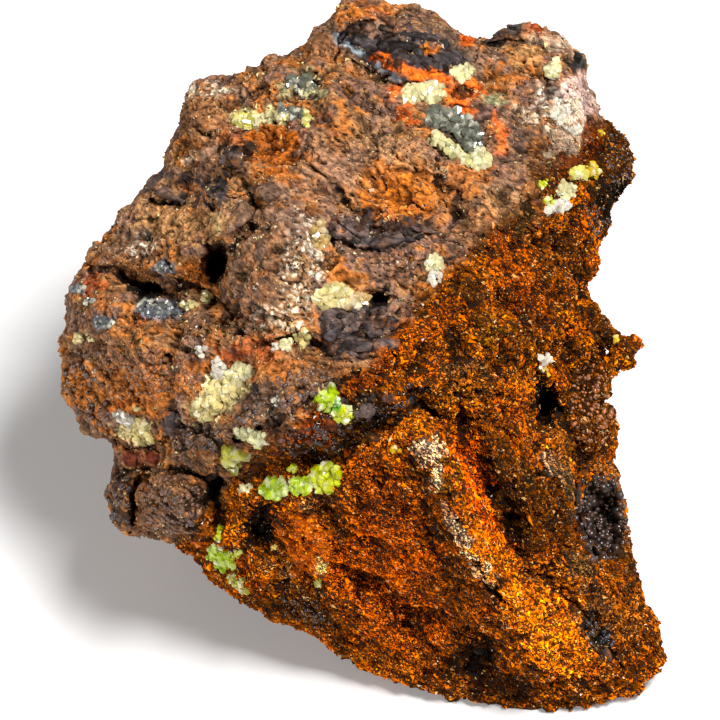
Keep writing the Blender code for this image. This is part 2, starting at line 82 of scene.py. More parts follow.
# The rock's colours
SPLIT_WANDER = 14                # how far the border of the lower half strays, in pixels
SPLIT_BLEND = 9                  # how far it blends to either side
PATCH_WANDER = 15                # how far the edges of patches stray, in pixels
SMALL_PATCH = 14                 # patches narrower than this stray less
PATCH_EDGE = (0.86, 1.06)        # where a patch fades out, as shares of the way to its edge
LOWER_LIGHT = np.array((1.22, 1.08, 0.6))      # painted light: factors that brighten and warm the lower half's grains: red, green, blue
ROUGHNESS, GRAINS = 3, 4         # columns of a look, after red, green and blue

# Grains, crystals, stones and knobs
GRAIN_LEAN = 0.6                 # how far grains lean away from the rock's normal
GRAIN_JITTER = 0.22              # how unevenly their corners lie
GRAIN_STRETCH = (1.45, 0.75, 0.9)              # along the fabric, across it and outwards
SPECK_COLOURS = ("whitish", "cream", "tan", "brown orange")
CELL = (8.30, 8.52, 6.04)        # adamite's unit cell, which sets the angles of its faces
CRYSTAL_KINDS = 16
CRYSTAL_LEAN = 0.9               # how far crystals lean away from the rock's normal
CRYSTAL_STRETCH = 1.25           # their length as a share of their width
CRYSTAL_SIZE = 0.8               # of the sizes in the table
CRYSTAL_CROWD = 1.7              # of the counts in the table
CRYSTAL_BEND = 1.72              # adamite's index of refraction
STONE_ROUNDS = 3                 # how often a stone's ball is divided
BLOCK_CUTS = 8                   # how many flat faces a block is cut with
SUNK_PLATE, SUNK_STONE = 0.2, 0.45             # how deep their middles lie, as shares of their height
KNOB_CROWD = 1.2                 # knobs tried on each square as wide as a knob
KNOB_SUNK = 0.15                 # the share of a knob's width by which its middle lies in the rock
DRUSE_CUTS = (400, 510)          # the pixels across where the druse is cut into pieces

# Lights: how far right, up and towards the camera, then distance and size in metres, and watts.
LIGHTS = {"key": (0.4, 0.5, 0.75, 0.5, 0.2, 4.8), "fill": (-0.6, -0.3, 0.75, 0.6, 0.3, 3.0)}
LIGHTS_AIM = Vector((0, 0, 0.02))
FLOOR_COLOUR = (0.8, 0.79, 0.78, 1)
SKY_STRENGTH = 0.11

# The rock as the grains need it. Its shade is painted shade, darker in hollows.
Surface = namedtuple("Surface", "places normals triangles shade")

# Colours as they look in even light: red, green and blue from 0 to 255, then the surface's roughness
# and the share of it that grains and crumbs cover.
COLOURS = {
    "brown": (112, 74, 46, 0.8, 0.5), "grey brown": (90, 68, 54, 0.75, 0.35),
    "dark brown": (52, 34, 24, 0.6, 0.6), "umber": (76, 40, 4, 0.8, 1.0), "tan": (160, 116, 72, 0.8, 0.5),
    "pink brown": (134, 96, 70, 0.8, 0.3), "rust": (152, 84, 26, 0.8, 0.5),
    "red rust": (136, 60, 22, 0.8, 0.5), "orange red": (190, 82, 14, 0.8, 0.2),
    "orange": (176, 92, 10, 0.8, 0.5), "ochre": (160, 86, 3, 0.8, 1.0),
    "deep ochre": (130, 65, 2, 0.8, 1.0), "face orange": (192, 90, 3, 0.8, 1.0),
    "gold": (204, 110, 12, 0.75, 1.0), "olive brown": (104, 66, 5, 0.8, 1.0),
    "dark olive": (50, 35, 6, 0.7, 1.0), "slate": (54, 48, 49, 0.4, 0.05),
    # The last, near-black colour below is painted shade, put in holes, cavities and crevices.
    "purple grey": (78, 64, 60, 0.5, 0.1), "black": (22, 18, 17, 0.35, 0.05), "shade black": (8, 6, 5, 0.8, 0.1),
    "steel": (92, 100, 108, 0.35, 0.0), "blue grey": (122, 134, 140, 0.4, 0.0),
    "whitish": (190, 170, 144, 0.6, 1.0), "cream": (200, 184, 126, 0.5, 1.0),
    "lichen": (132, 130, 94, 0.6, 1.0), "dark red": (84, 34, 18, 0.7, 0.6),
    "plum": (60, 38, 32, 0.5, 0.5), "brown orange": (156, 90, 26, 0.7, 1.0),
    "lit rust": (164, 78, 3, 0.8, 1.0), "valley orange": (246, 104, 2, 0.8, 1.0),
    "dome orange": (190, 92, 8, 0.8, 0.6), "pale crystal": (240, 234, 208, 0.3, 0.0),
    "druse grey": (90, 66, 44, 0.7, 1.0), "pale druse": (204, 170, 158, 0.6, 1.0),
    "stone": (112, 86, 68, 0.75, 0.3), "purple brown": (98, 72, 60, 0.75, 0.35),
    "yellow brown": (124, 86, 52, 0.8, 0.5), "black druse": (18, 10, 4, 0.7, 1.0),
    "knob black": (64, 43, 32, 0.3, 1.0), "slate druse": (60, 49, 46, 0.5, 1.0),
    "brown druse": (68, 38, 9, 0.7, 1.0), "red druse": (104, 40, 4, 0.7, 1.0),
    "glint": (244, 190, 110, 0.3, 1.0), "foot gold": (234, 122, 6, 0.75, 1.0),
    "hollow ochre": (140, 68, 4, 0.8, 0.5),
}

# The rock's patches of colour: x, y, half length, half width, turn, colour, strength.
# Dark patches in holes, cracks and hollows and under ledges, and those named light or shade, are painted
# shade and light.
PATCHES = {
    "right slope": (500, 180, 90, 60, 40, "grey brown", 0.5),
    "middle slope": (330, 170, 60, 40, 0, "pink brown", 0.5),
    "orange band": (400, 190, 52, 26, -25, "rust", 0.9),
    "orange band core": (408, 198, 34, 14, -20, "orange", 0.7),
    "smooth rust": (468, 178, 32, 18, 25, "rust", 0.7),
    "crest": (400, 40, 90, 36, -14, "grey brown", 0.8),
    "crest tip": (368, 12, 34, 14, 0, "rust", 0.8),
    "crest tip streak": (382, 18, 22, 7, -35, "red rust", 0.7),
    "black slab": (402, 47, 66, 24, -14, "slate", 1.0),
    "black slab foot": (432, 60, 26, 12, -10, "black", 0.6),
    "slab shine": (340, 40, 10, 6, -60, "blue grey", 0.7),
    "seam start": (353, 47, 12, 3, -35, "blue grey", 1.0),
    "seam middle": (375, 62, 16, 3, -45, "blue grey", 1.0),
    "seam end": (395, 77, 14, 3.5, -38, "steel", 1.0),
    "seam dark end": (406, 84, 6, 4, -30, "slate", 1.0),
    "round knob": (322, 46, 12, 15, 0, "brown", 1.0),
    "knob orange": (430, 47, 9, 6, -10, "orange", 1.0),
    "ball orange": (465, 39, 6, 6, 0, "orange red", 1.0),
    "orange strip": (392, 64, 28, 6, -28, "orange red", 1.0),
    "orange strip low": (428, 76, 24, 8, -10, "orange red", 1.0),
    "orange strip left": (394, 88, 8, 10, -40, "orange red", 0.9),
    "orange by the patch": (407, 113, 9, 12, 20, "orange red", 0.9),
    "ring": (465, 92, 21, 12, -5, "orange red", 1.0),
    "ring middle": (463, 90, 12, 5, -5, "dark brown", 0.9),
    "orange under the ring": (463, 108, 15, 8, -20, "orange red", 0.9),
    "orange streak": (498, 128, 6, 20, 20, "orange red", 0.7),
    "orange streak low": (499, 150, 8, 8, 0, "orange red", 0.5),
    "lichen right": (495, 99, 14, 7, -20, "lichen", 0.9),
    "white flecks right": (526, 115, 11, 6, -30, "whitish", 0.7),
    "shoulder orange": (505, 72, 16, 14, 0, "rust", 0.8),
    "shoulder ochre": (528, 55, 14, 20, 0, "tan", 0.5),
    "shoulder red knob": (534, 30, 12, 10, 0, "red rust", 0.6),
    "shoulder black left": (492, 31, 8, 7, 0, "slate", 0.9),
    "shoulder black middle": (514, 30, 8, 8, 0, "black", 0.9),
    "shoulder black right": (577, 62, 12, 9, -20, "black", 1.0),
    "shoulder pale": (576, 100, 20, 28, 0, "pale druse", 0.6),
    "shoulder druse": (562, 116, 12, 17, 0, "whitish", 0.8),
    "shoulder druse low": (574, 131, 7, 4, 0, "whitish", 0.8),
    "green druse above": (302, 86, 22, 12, -10, "lichen", 0.8),
    "dark above the rim": (250, 62, 16, 7, -10, "dark brown", 0.7),
    "corner white": (190, 88, 6, 12, 0, "whitish", 0.6),
    "corner streak": (220, 92, 18, 5, 5, "whitish", 0.5),
    "top left shoulder": (205, 115, 26, 26, 0, "brown", 0.9),
    "rim cream": (262, 118, 38, 9, 3, "cream", 1.0),
    "ochre hollow": (272, 146, 32, 23, -15, "hollow ochre", 1.0),
    "ochre hollow dark": (247, 153, 9, 12, 20, "dark brown", 0.9),
    "ochre below": (286, 176, 20, 6, -12, "rust", 0.8),
    "red above the block": (232, 138, 15, 10, -30, "red rust", 0.5),
    "pink block": (211, 155, 13, 15, 20, "pink brown", 0.9),
    "black block": (232, 157, 10, 14, 0, "black", 0.8),
    "fleck upper left": (189, 161, 6, 5, 0, "whitish", 0.7),
    "grey band": (178, 188, 48, 15, -12, "slate", 0.85),
    "grey band salmon": (188, 188, 20, 6, -25, "rust", 0.7),
    "grey balls": (219, 187, 8, 9, 0, "slate", 0.9),
    "left wall": (150, 215, 60, 12, 48, "grey brown", 0.6),
    "tan ground": (178, 228, 42, 16, -12, "tan", 0.8),
    "tan ground low": (140, 252, 26, 10, 25, "brown", 0.6),
    "pointed block": (236, 216, 20, 15, 20, "pink brown", 0.9),
    "pointed block edge": (218, 223, 5, 13, 0, "cream", 0.6),
    "black hole": (217, 264, 11, 19, -10, "shade black", 1.0),
    "black hole fold": (236, 247, 14, 5, 45, "dark brown", 0.8),
    "orange by the hole": (193, 275, 18, 10, -20, "deep ochre", 0.8),
    "left hollow": (125, 270, 34, 14, -18, "umber", 0.7),
    "left cavity": (148, 289, 20, 9, -8, "shade black", 1.0),
    "cavity end": (178, 292, 12, 6, 0, "dark brown", 0.8),
    "red wall": (96, 285, 16, 9, -25, "red rust", 0.9),
    "red wall low": (100, 302, 20, 6, -15, "rust", 0.7),
    "steel far left": (79, 289, 9, 6, -15, "steel", 0.9),
    "steel ledge": (157, 309, 24, 10, -8, "steel", 0.9),
    "steel ledge left": (104, 323, 12, 6, -10, "steel", 0.9),
    "steel small": (164, 268, 10, 6, -5, "steel", 0.8),
    "red by the steel": (140, 320, 12, 6, 0, "red rust", 0.6),
    "central bulge": (270, 262, 50, 52, 0, "grey brown", 0.7),
    "bulge top": (262, 215, 24, 14, 20, "grey brown", 0.6),
    "bulge druse": (300, 290, 14, 34, -8, "tan", 0.6),
    "bulge druse foot": (282, 318, 20, 13, 0, "tan", 0.6),
    "bulge orange": (337, 272, 13, 12, -20, "rust", 0.8),
    "bulge orange low": (310, 318, 10, 16, 20, "rust", 0.5),
    "dark under the bulge": (232, 325, 40, 8, -5, "dark brown", 0.7),
    "dark flakes": (378, 232, 42, 18, -8, "purple grey", 0.85),
    "dark flake pit": (408, 224, 13, 9, 0, "black", 0.7),
    "flakes low": (356, 322, 40, 17, 12, "purple grey", 0.8),
    "flakes lowest": (352, 348, 30, 11, 10, "slate", 0.8),
    "hole by the centre": (379, 300, 10, 9, 0, "shade black", 1.0),
    "brown flat": (300, 374, 56, 15, 10, "brown", 0.7),
    "rust flat": (380, 340, 20, 8, 10, "pink brown", 0.6),
    "red band": (255, 350, 42, 12, 6, "red rust", 0.85),
    "red band left": (205, 367, 26, 8, 10, "rust", 0.8),
    "lobe rust": (150, 388, 44, 12, 6, "rust", 0.8),
    "lobe red": (121, 406, 14, 13, 0, "orange red", 0.9),
    "lobe brown": (100, 365, 32, 26, 0, "brown", 0.5),
    "lobe left edge": (76, 380, 12, 60, 0, "grey brown", 0.6),
    "dark knob left": (171, 421, 12, 11, 0, "slate", 0.8),
    "dark by the left patch": (256, 386, 12, 9, 0, "slate", 0.8),
    "left patch ground": (222, 391, 36, 20, 35, "cream", 0.9),
    "lobe cream": (134, 428, 18, 14, -20, "cream", 0.8),
    "red knob": (139, 458, 22, 11, -5, "dark red", 0.9),
    "outer lobe": (120, 504, 16, 32, 0, "dark brown", 0.85),
    "nodule": (171, 510, 38, 36, 0, "plum", 0.6),
    "nodule light": (160, 498, 24, 18, 10, "brown", 0.5),
    "crevice": (212, 492, 12, 20, -25, "shade black", 1.0),
    "crevice edge": (228, 470, 18, 10, 20, "dark brown", 0.7),
    "dark above the crevice": (250, 408, 40, 14, 15, "grey brown", 0.5),
    "dark band": (345, 428, 62, 24, 22, "brown druse", 1.0),
    "dark band plum": (318, 432, 22, 16, 10, "red druse", 0.8),
    "dark band rust": (262, 455, 22, 9, 35, "rust", 0.6),
    "dark band grey": (368, 412, 16, 13, 0, "slate druse", 0.9),
    "dark band right": (418, 408, 26, 14, 35, "brown druse", 0.8),
    "band rust right": (378, 372, 26, 11, 30, "red druse", 0.7),
    "ledge left": (238, 512, 16, 26, -10, "ochre", 0.9),
    "dark hollow": (262, 523, 18, 24, -15, "black druse", 0.95),
    "grey under the green": (318, 504, 24, 8, 15, "druse grey", 0.8),
    "lower left face": (380, 580, 110, 80, -30, "deep ochre", 0.6),
    "orange by the green": (372, 478, 34, 22, -25, "lit rust", 0.9),
    "orange cracked": (308, 545, 25, 36, 10, "dome orange", 0.95),
    "orange cracked low": (345, 570, 22, 28, 20, "face orange", 0.9),
    "orange middle": (395, 545, 54, 32, -30, "face orange", 0.8),
    "orange low": (400, 605, 56, 26, -32, "face orange", 0.9),
    "white fleck": (287, 572, 8, 6, 0, "whitish", 0.9),
    "white fleck surround": (278, 566, 20, 10, -10, "brown orange", 0.8),
    "cream fleck": (322, 567, 6, 9, 0, "cream", 0.9),
    "brown foot": (302, 606, 34, 16, -32, "brown druse", 0.9),
    "face dark foot": (474, 655, 26, 20, 30, "black druse", 0.85),
    "face dark middle": (440, 530, 24, 14, -45, "brown druse", 0.6),
    "ridge olive": (452, 470, 10, 40, -22, "olive brown", 0.8),
    "ridge top": (432, 452, 15, 12, -30, "pale druse", 1.0),
    "ridge pale": (437, 478, 8, 16, -25, "pale druse", 0.9),
    "ridge dark fleck": (448, 497, 6, 11, -30, "dark olive", 0.8),
    "ridge pale middle": (456, 528, 30, 6, -62, "pale druse", 0.9),
    "ridge pale low": (480, 566, 24, 6, -50, "pale druse", 0.9),
    "ridge gold": (500, 560, 46, 16, -48, "foot gold", 0.9),
    "dark beside the ridge": (503, 606, 9, 30, 30, "black druse", 0.9),
    "gold foot": (548, 625, 54, 38, -35, "foot gold", 0.95),
    "gold foot core": (560, 655, 36, 22, -20, "foot gold", 0.9),
    "foot dark spot": (536, 671, 12, 10, 0, "brown druse", 0.8),
    # The valley: its left wall red-orange, painted brighter as the side that light falls on, and its far
    # side and end painted shade.
    "valley red": (474, 480, 15, 50, 22, "valley orange", 1.0),
    "valley red low": (496, 528, 9, 26, 35, "valley orange", 0.8),
    "valley far side": (506, 478, 20, 34, 15, "brown druse", 0.8),
    "valley end": (525, 540, 24, 12, -20, "brown druse", 0.8),
    "right face gold": (540, 510, 34, 40, 10, "umber", 0.7),
    "right face gold low": (560, 575, 40, 16, 10, "brown orange", 0.6),
    "right face orange": (516, 262, 20, 44, 40, "lit rust", 0.8),
    "right face red": (528, 306, 30, 14, -50, "red druse", 0.6),
    "right face dark": (515, 222, 22, 12, 30, "dark olive", 0.7),
    "right face grey": (470, 374, 26, 13, -15, "druse grey", 0.7),
    "right face grey top": (492, 332, 16, 22, 20, "olive brown", 0.7),
    "right face ochre": (440, 400, 50, 22, 20, "ochre", 0.7),
    "ear": (612, 165, 32, 56, 0, "brown druse", 0.95),
    "ear root": (560, 160, 40, 30, 40, "umber", 0.8),
    "ear red": (580, 155, 14, 36, -45, "red druse", 0.6),
    "black pit": (545, 406, 15, 30, 15, "black druse", 1.0),
    "pit lobe": (590, 415, 30, 48, 0, "brown druse", 0.8),
    "gold by the pit": (528, 382, 14, 8, 10, "gold", 0.7),
    "pale streak right": (556, 466, 22, 9, -45, "pale druse", 0.6),
    "grey right": (568, 482, 9, 24, 20, "druse grey", 0.9),
    "crust above the vug": (606, 488, 24, 26, 0, "brown orange", 0.8),
    "vug": (600, 518, 27, 44, 5, "black", 1.0),
    "grey streak": (578, 566, 22, 14, -35, "druse grey", 0.85),
    "grey streak low": (592, 606, 14, 26, -40, "druse grey", 0.6),
    "grey foot": (600, 638, 12, 28, 32, "slate druse", 0.95),
    "right foot": (632, 640, 24, 40, -20, "deep ochre", 0.6),
    "brown above the pit": (520, 340, 26, 20, -30, "brown druse", 0.6),
    "middle dark": (470, 300, 12, 34, 35, "brown druse", 0.6),
    "middle dark high": (476, 236, 12, 30, 40, "brown druse", 0.6),
    "under the split dark": (410, 332, 24, 12, 35, "brown druse", 0.6),
    "gold over the ridge": (400, 432, 24, 12, 10, "gold", 0.7),
    "ledge gold": (236, 498, 12, 20, -20, "ochre", 0.6),
    # Most patches from here on lighten or darken places as light falls on them: painted light and shade.
    "shoulder light": (556, 42, 26, 12, 0, "whitish", 0.35),
    "slope light": (392, 146, 46, 20, -20, "tan", 0.45),
    "orange band light": (384, 206, 32, 13, -25, "orange", 0.6),
    "right slope low": (502, 204, 28, 18, 40, "tan", 0.4),
    "wall light": (152, 206, 36, 14, 48, "tan", 0.5),
    "light by the block": (208, 212, 24, 18, 0, "tan", 0.6),
    "lobe rust ground": (92, 388, 30, 30, 0, "rust", 0.9),
    "lobe rust right": (146, 402, 30, 14, 0, "rust", 0.9),
    "ground by the split": (296, 384, 46, 20, 8, "dark brown", 0.6),
    "dark under the left patch": (205, 445, 30, 16, 10, "dark brown", 0.7),
    "dark by the crevice": (262, 444, 32, 18, -30, "umber", 0.8),
    "nodule shade": (201, 508, 20, 36, 0, "shade black", 0.8),
    "ear low": (618, 206, 24, 34, 0, "black druse", 0.6),
    "branch shade": (616, 324, 24, 30, 0, "brown druse", 0.7),
    "shade under the ear": (568, 266, 30, 30, 20, "brown druse", 0.45),
    "split orange": (398, 338, 22, 18, 40, "lit rust", 0.6),
    "face shade": (388, 508, 30, 18, -20, "red druse", 0.5),
    "valley shade": (510, 506, 16, 34, 22, "brown druse", 0.6),
    "right face shade": (566, 522, 22, 30, 0, "brown druse", 0.5),
    "low face orange": (392, 634, 40, 14, -25, "face orange", 0.8),
    "left foot shade": (262, 606, 24, 16, -30, "black druse", 0.5),
    "foot shade": (502, 686, 36, 16, -12, "black druse", 0.8),
    "ear lowest": (616, 206, 26, 34, 0, "black druse", 0.8),
    "right edge shade": (622, 560, 22, 30, 0, "brown druse", 0.5),
    "right foot light": (626, 616, 22, 24, -20, "brown orange", 0.6),
    "ledge light": (214, 524, 16, 18, 0, "gold", 0.7),
    "light over the streak": (562, 444, 24, 22, 0, "brown orange", 0.5),
    "light under the split": (436, 322, 36, 16, 40, "lit rust", 0.6),
    "bottom edge light": (394, 670, 28, 10, -20, "gold", 0.7),
    "face light": (432, 506, 22, 22, 0, "lit rust", 0.5),
    "nodule dark": (172, 514, 36, 32, 0, "dark brown", 0.6),
    "crest light": (388, 26, 26, 12, 0, "pink brown", 0.5),
    "shoulder pale low": (564, 142, 22, 14, 30, "whitish", 0.4),
    "split shade": (462, 286, 20, 12, 40, "brown druse", 0.5),
    "ground rust": (264, 372, 34, 12, 8, "rust", 0.7),
    "olive over the ridge": (452, 392, 26, 12, 0, "olive brown", 0.4),
}

# Where pale crystal has grown along a web of fine cracks: x, y, half length, half width, turn.
WEBS = [(303, 270, 24, 64, -6), (282, 318, 30, 20, 0), (140, 246, 24, 14, 20), (200, 88, 30, 12, -5),
        (556, 104, 30, 26, 0)]

# Hollows and low lumps carved into the front: x, y, half length, half width, turn, height.
CARVED_SPOTS = {
    "black hole": (217, 264, 13, 23, -10, -8.0),
    "left cavity": (147, 288, 20, 9, -8, -3.6),
    "ring": (464, 91, 13, 6, -5, -0.9),
    "hollow by the cavity": (122, 272, 22, 10, -22, -0.9),
    "cavity end": (180, 291, 13, 5, 0, -1.2),
    "ochre hollow": (272, 148, 30, 20, -15, -1.4),
    "ochre hollow dark": (247, 153, 7, 10, 20, -1.4),
    "hole by the centre": (379, 300, 10, 8, 0, -3.0),
    "black pit": (545, 406, 13, 29, -15, -3.5),
    "black pit deep": (540, 398, 8, 16, -10, -2.0),
    "vug": (600, 517, 24, 42, 5, -3.0),
    "dark hollow": (262, 523, 17, 24, -15, -1.4),
    "crevice": (212, 490, 9, 20, -25, -3.0),
    "ear undercut": (612, 200, 10, 26, -20, -1.8),
    "foot hollow": (478, 655, 24, 18, 30, -1.4),
    "dark knob": (171, 421, 10, 10, 0, 1.2),
    "red knob": (130, 458, 13, 11, 0, 1.4),
    "red knob right": (152, 456, 11, 9, 0, 1.0),
    "round knob": (322, 46, 10, 14, 0, 0.9),
    "crest bump": (430, 47, 9, 7, 0, 0.9),
    "pointed block": (236, 216, 21, 15, 20, 1.2),
    "pink block": (211, 155, 13, 15, 20, 0.9),
    "black block": (232, 157, 9, 13, 0, 0.7),
    "left patch": (222, 391, 34, 18, 35, 0.5),
    "cracked dome": (312, 545, 26, 34, 10, 0.7),
    "pit lobe": (592, 412, 26, 40, 0, 1.0),
    "nodule": (172, 508, 36, 36, 0, 1.8),
    "outer lobe": (121, 505, 12, 28, 0, 1.4),
    "valley": (502, 498, 30, 74, 24, -2.0),
    "gold foot": (560, 640, 44, 34, -20, 0.8),
    "side of the ridge": (498, 612, 18, 40, 32, -0.9),
    "lower left face": (400, 600, 80, 30, -30, -0.7),
}

# Cracks and ribs: half width in pixels, height, and the pixels that they run through.
CARVED_LINES = {
    "ring": (4, 0.7, [(445, 93), (454, 84), (471, 81), (484, 88), (482, 99), (464, 103), (448, 99),
                      (445, 93)]),
    "split under the black slab": (3, -0.8, [(345, 55), (372, 74), (398, 84), (440, 84), (462, 76)]),
    "gap left of the slab": (3, -0.7, [(334, 62), (338, 40), (350, 24), (372, 20)]),
    "shoulder crack": (3, -0.9, [(474, 60), (480, 44), (500, 42), (520, 40)]),
    "slope crack": (3, -0.6, [(300, 160), (322, 172), (340, 192), (352, 214)]),
    "upper left crack": (3, -0.8, [(196, 128), (214, 138), (232, 136), (252, 130)]),
    "crack under the grey band": (3, -0.8, [(150, 200), (176, 206), (204, 202), (216, 208)]),
    "crack by the left edge": (3, -0.8, [(92, 340), (120, 346), (150, 340), (190, 350)]),
    "crack under the left patch": (4, -1.0, [(180, 424), (204, 430), (222, 446), (218, 466)]),
    "crack over the lobe": (3, -0.7, [(88, 412), (106, 424), (112, 440)]),
    "under the grey patch": (4, -1.1, [(428, 140), (440, 152), (455, 162), (472, 170)]),
    "over the pointed block": (4, -1.2, [(210, 196), (228, 200), (246, 196), (262, 210)]),
    "under the pointed block": (5, -1.8, [(258, 224), (242, 236), (228, 250), (218, 262)]),
    "hollow's brow": (4, -1.0, [(166, 262), (180, 282), (206, 292)]),
    "fold left": (6, -1.0, [(92, 272), (112, 270), (130, 286), (158, 292), (186, 300)]),
    "fold under the bulge": (4, -1.0, [(206, 318), (236, 330), (262, 344), (300, 336)]),
    "fold by the bulge": (4, -0.8, [(336, 216), (330, 240), (334, 262), (322, 282)]),
    "flake edge top": (3, -0.7, [(338, 238), (362, 250), (392, 252), (418, 240)]),
    "flake edge low": (3, -0.7, [(324, 338), (352, 334), (384, 338), (408, 322)]),
    "flake edge lowest": (3, -0.7, [(322, 358), (350, 360), (376, 356)]),
    "slope step": (4, -0.7, [(438, 158), (436, 182), (444, 206), (428, 222)]),
    "ridge": (16, 0.8, [(426, 446), (440, 478), (452, 512), (470, 546), (494, 574)]),
    "wrinkle one": (2.5, -0.5, [(140, 492), (160, 484), (184, 490), (202, 500)]),
    "wrinkle two": (2.5, -0.5, [(138, 510), (156, 503), (182, 508), (204, 516)]),
    "wrinkle three": (2.5, -0.5, [(142, 526), (160, 521), (184, 526), (200, 532)]),
    "nodule edge": (4, -1.4, [(132, 532), (133, 500), (140, 480), (160, 470), (186, 470), (204, 480)]),
    "red knob foot": (4, -1.6, [(118, 474), (136, 470), (150, 468)]),
    "lobe step": (4, -1.2, [(116, 440), (132, 448), (150, 446), (168, 438)]),
    "crevice top": (5, -1.2, [(236, 440), (268, 424), (300, 408), (330, 388), (356, 372)]),
    "crack one": (1.8, -0.7, [(283, 512), (292, 524), (304, 528), (318, 522)]),
    "crack two": (1.8, -0.7, [(304, 528), (303, 542), (312, 556), (306, 572), (316, 584)]),
    "crack three": (1.6, -0.6, [(318, 522), (330, 536), (336, 552)]),
    "crack four": (1.8, -0.7, [(343, 560), (352, 582), (348, 606)]),
    "crack five": (1.8, -0.6, [(370, 590), (392, 580), (410, 568)]),
    "ridge side": (4, -1.0, [(448, 492), (458, 522), (466, 546), (492, 588), (520, 616)]),
    "gap behind the vug": (3, -0.9, [(578, 470), (574, 492), (572, 520), (578, 548)]),
    "foot groove": (3, -0.8, [(560, 590), (584, 612), (604, 640), (622, 668)]),
}

# Small closed shapes for grains: corners and faces.
SHARD = ([(1, 0, 0), (0, 1, 0), (-1, 0, 0), (0, -1, 0), (0, 0, 1.2), (0, 0, -0.9)],
         [(0, 1, 4), (1, 2, 4), (2, 3, 4), (3, 0, 4), (1, 0, 5), (2, 1, 5), (3, 2, 5), (0, 3, 5)])
CHIP = ([(1, 0, -0.5), (-0.5, 0.87, -0.5), (-0.5, -0.87, -0.5), (0.1, 0.1, 1)],
        [(0, 2, 1), (0, 1, 3), (1, 2, 3), (2, 0, 3)])
CRUMB = ([(1, 0, 0), (-0.5, 0.87, 0.1), (-0.5, -0.87, -0.1), (0.2, 0.1, 0.9), (-0.1, 0.1, -0.9)],
         [(0, 1, 3), (1, 2, 3), (2, 0, 3), (1, 0, 4), (2, 1, 4), (0, 2, 4)])

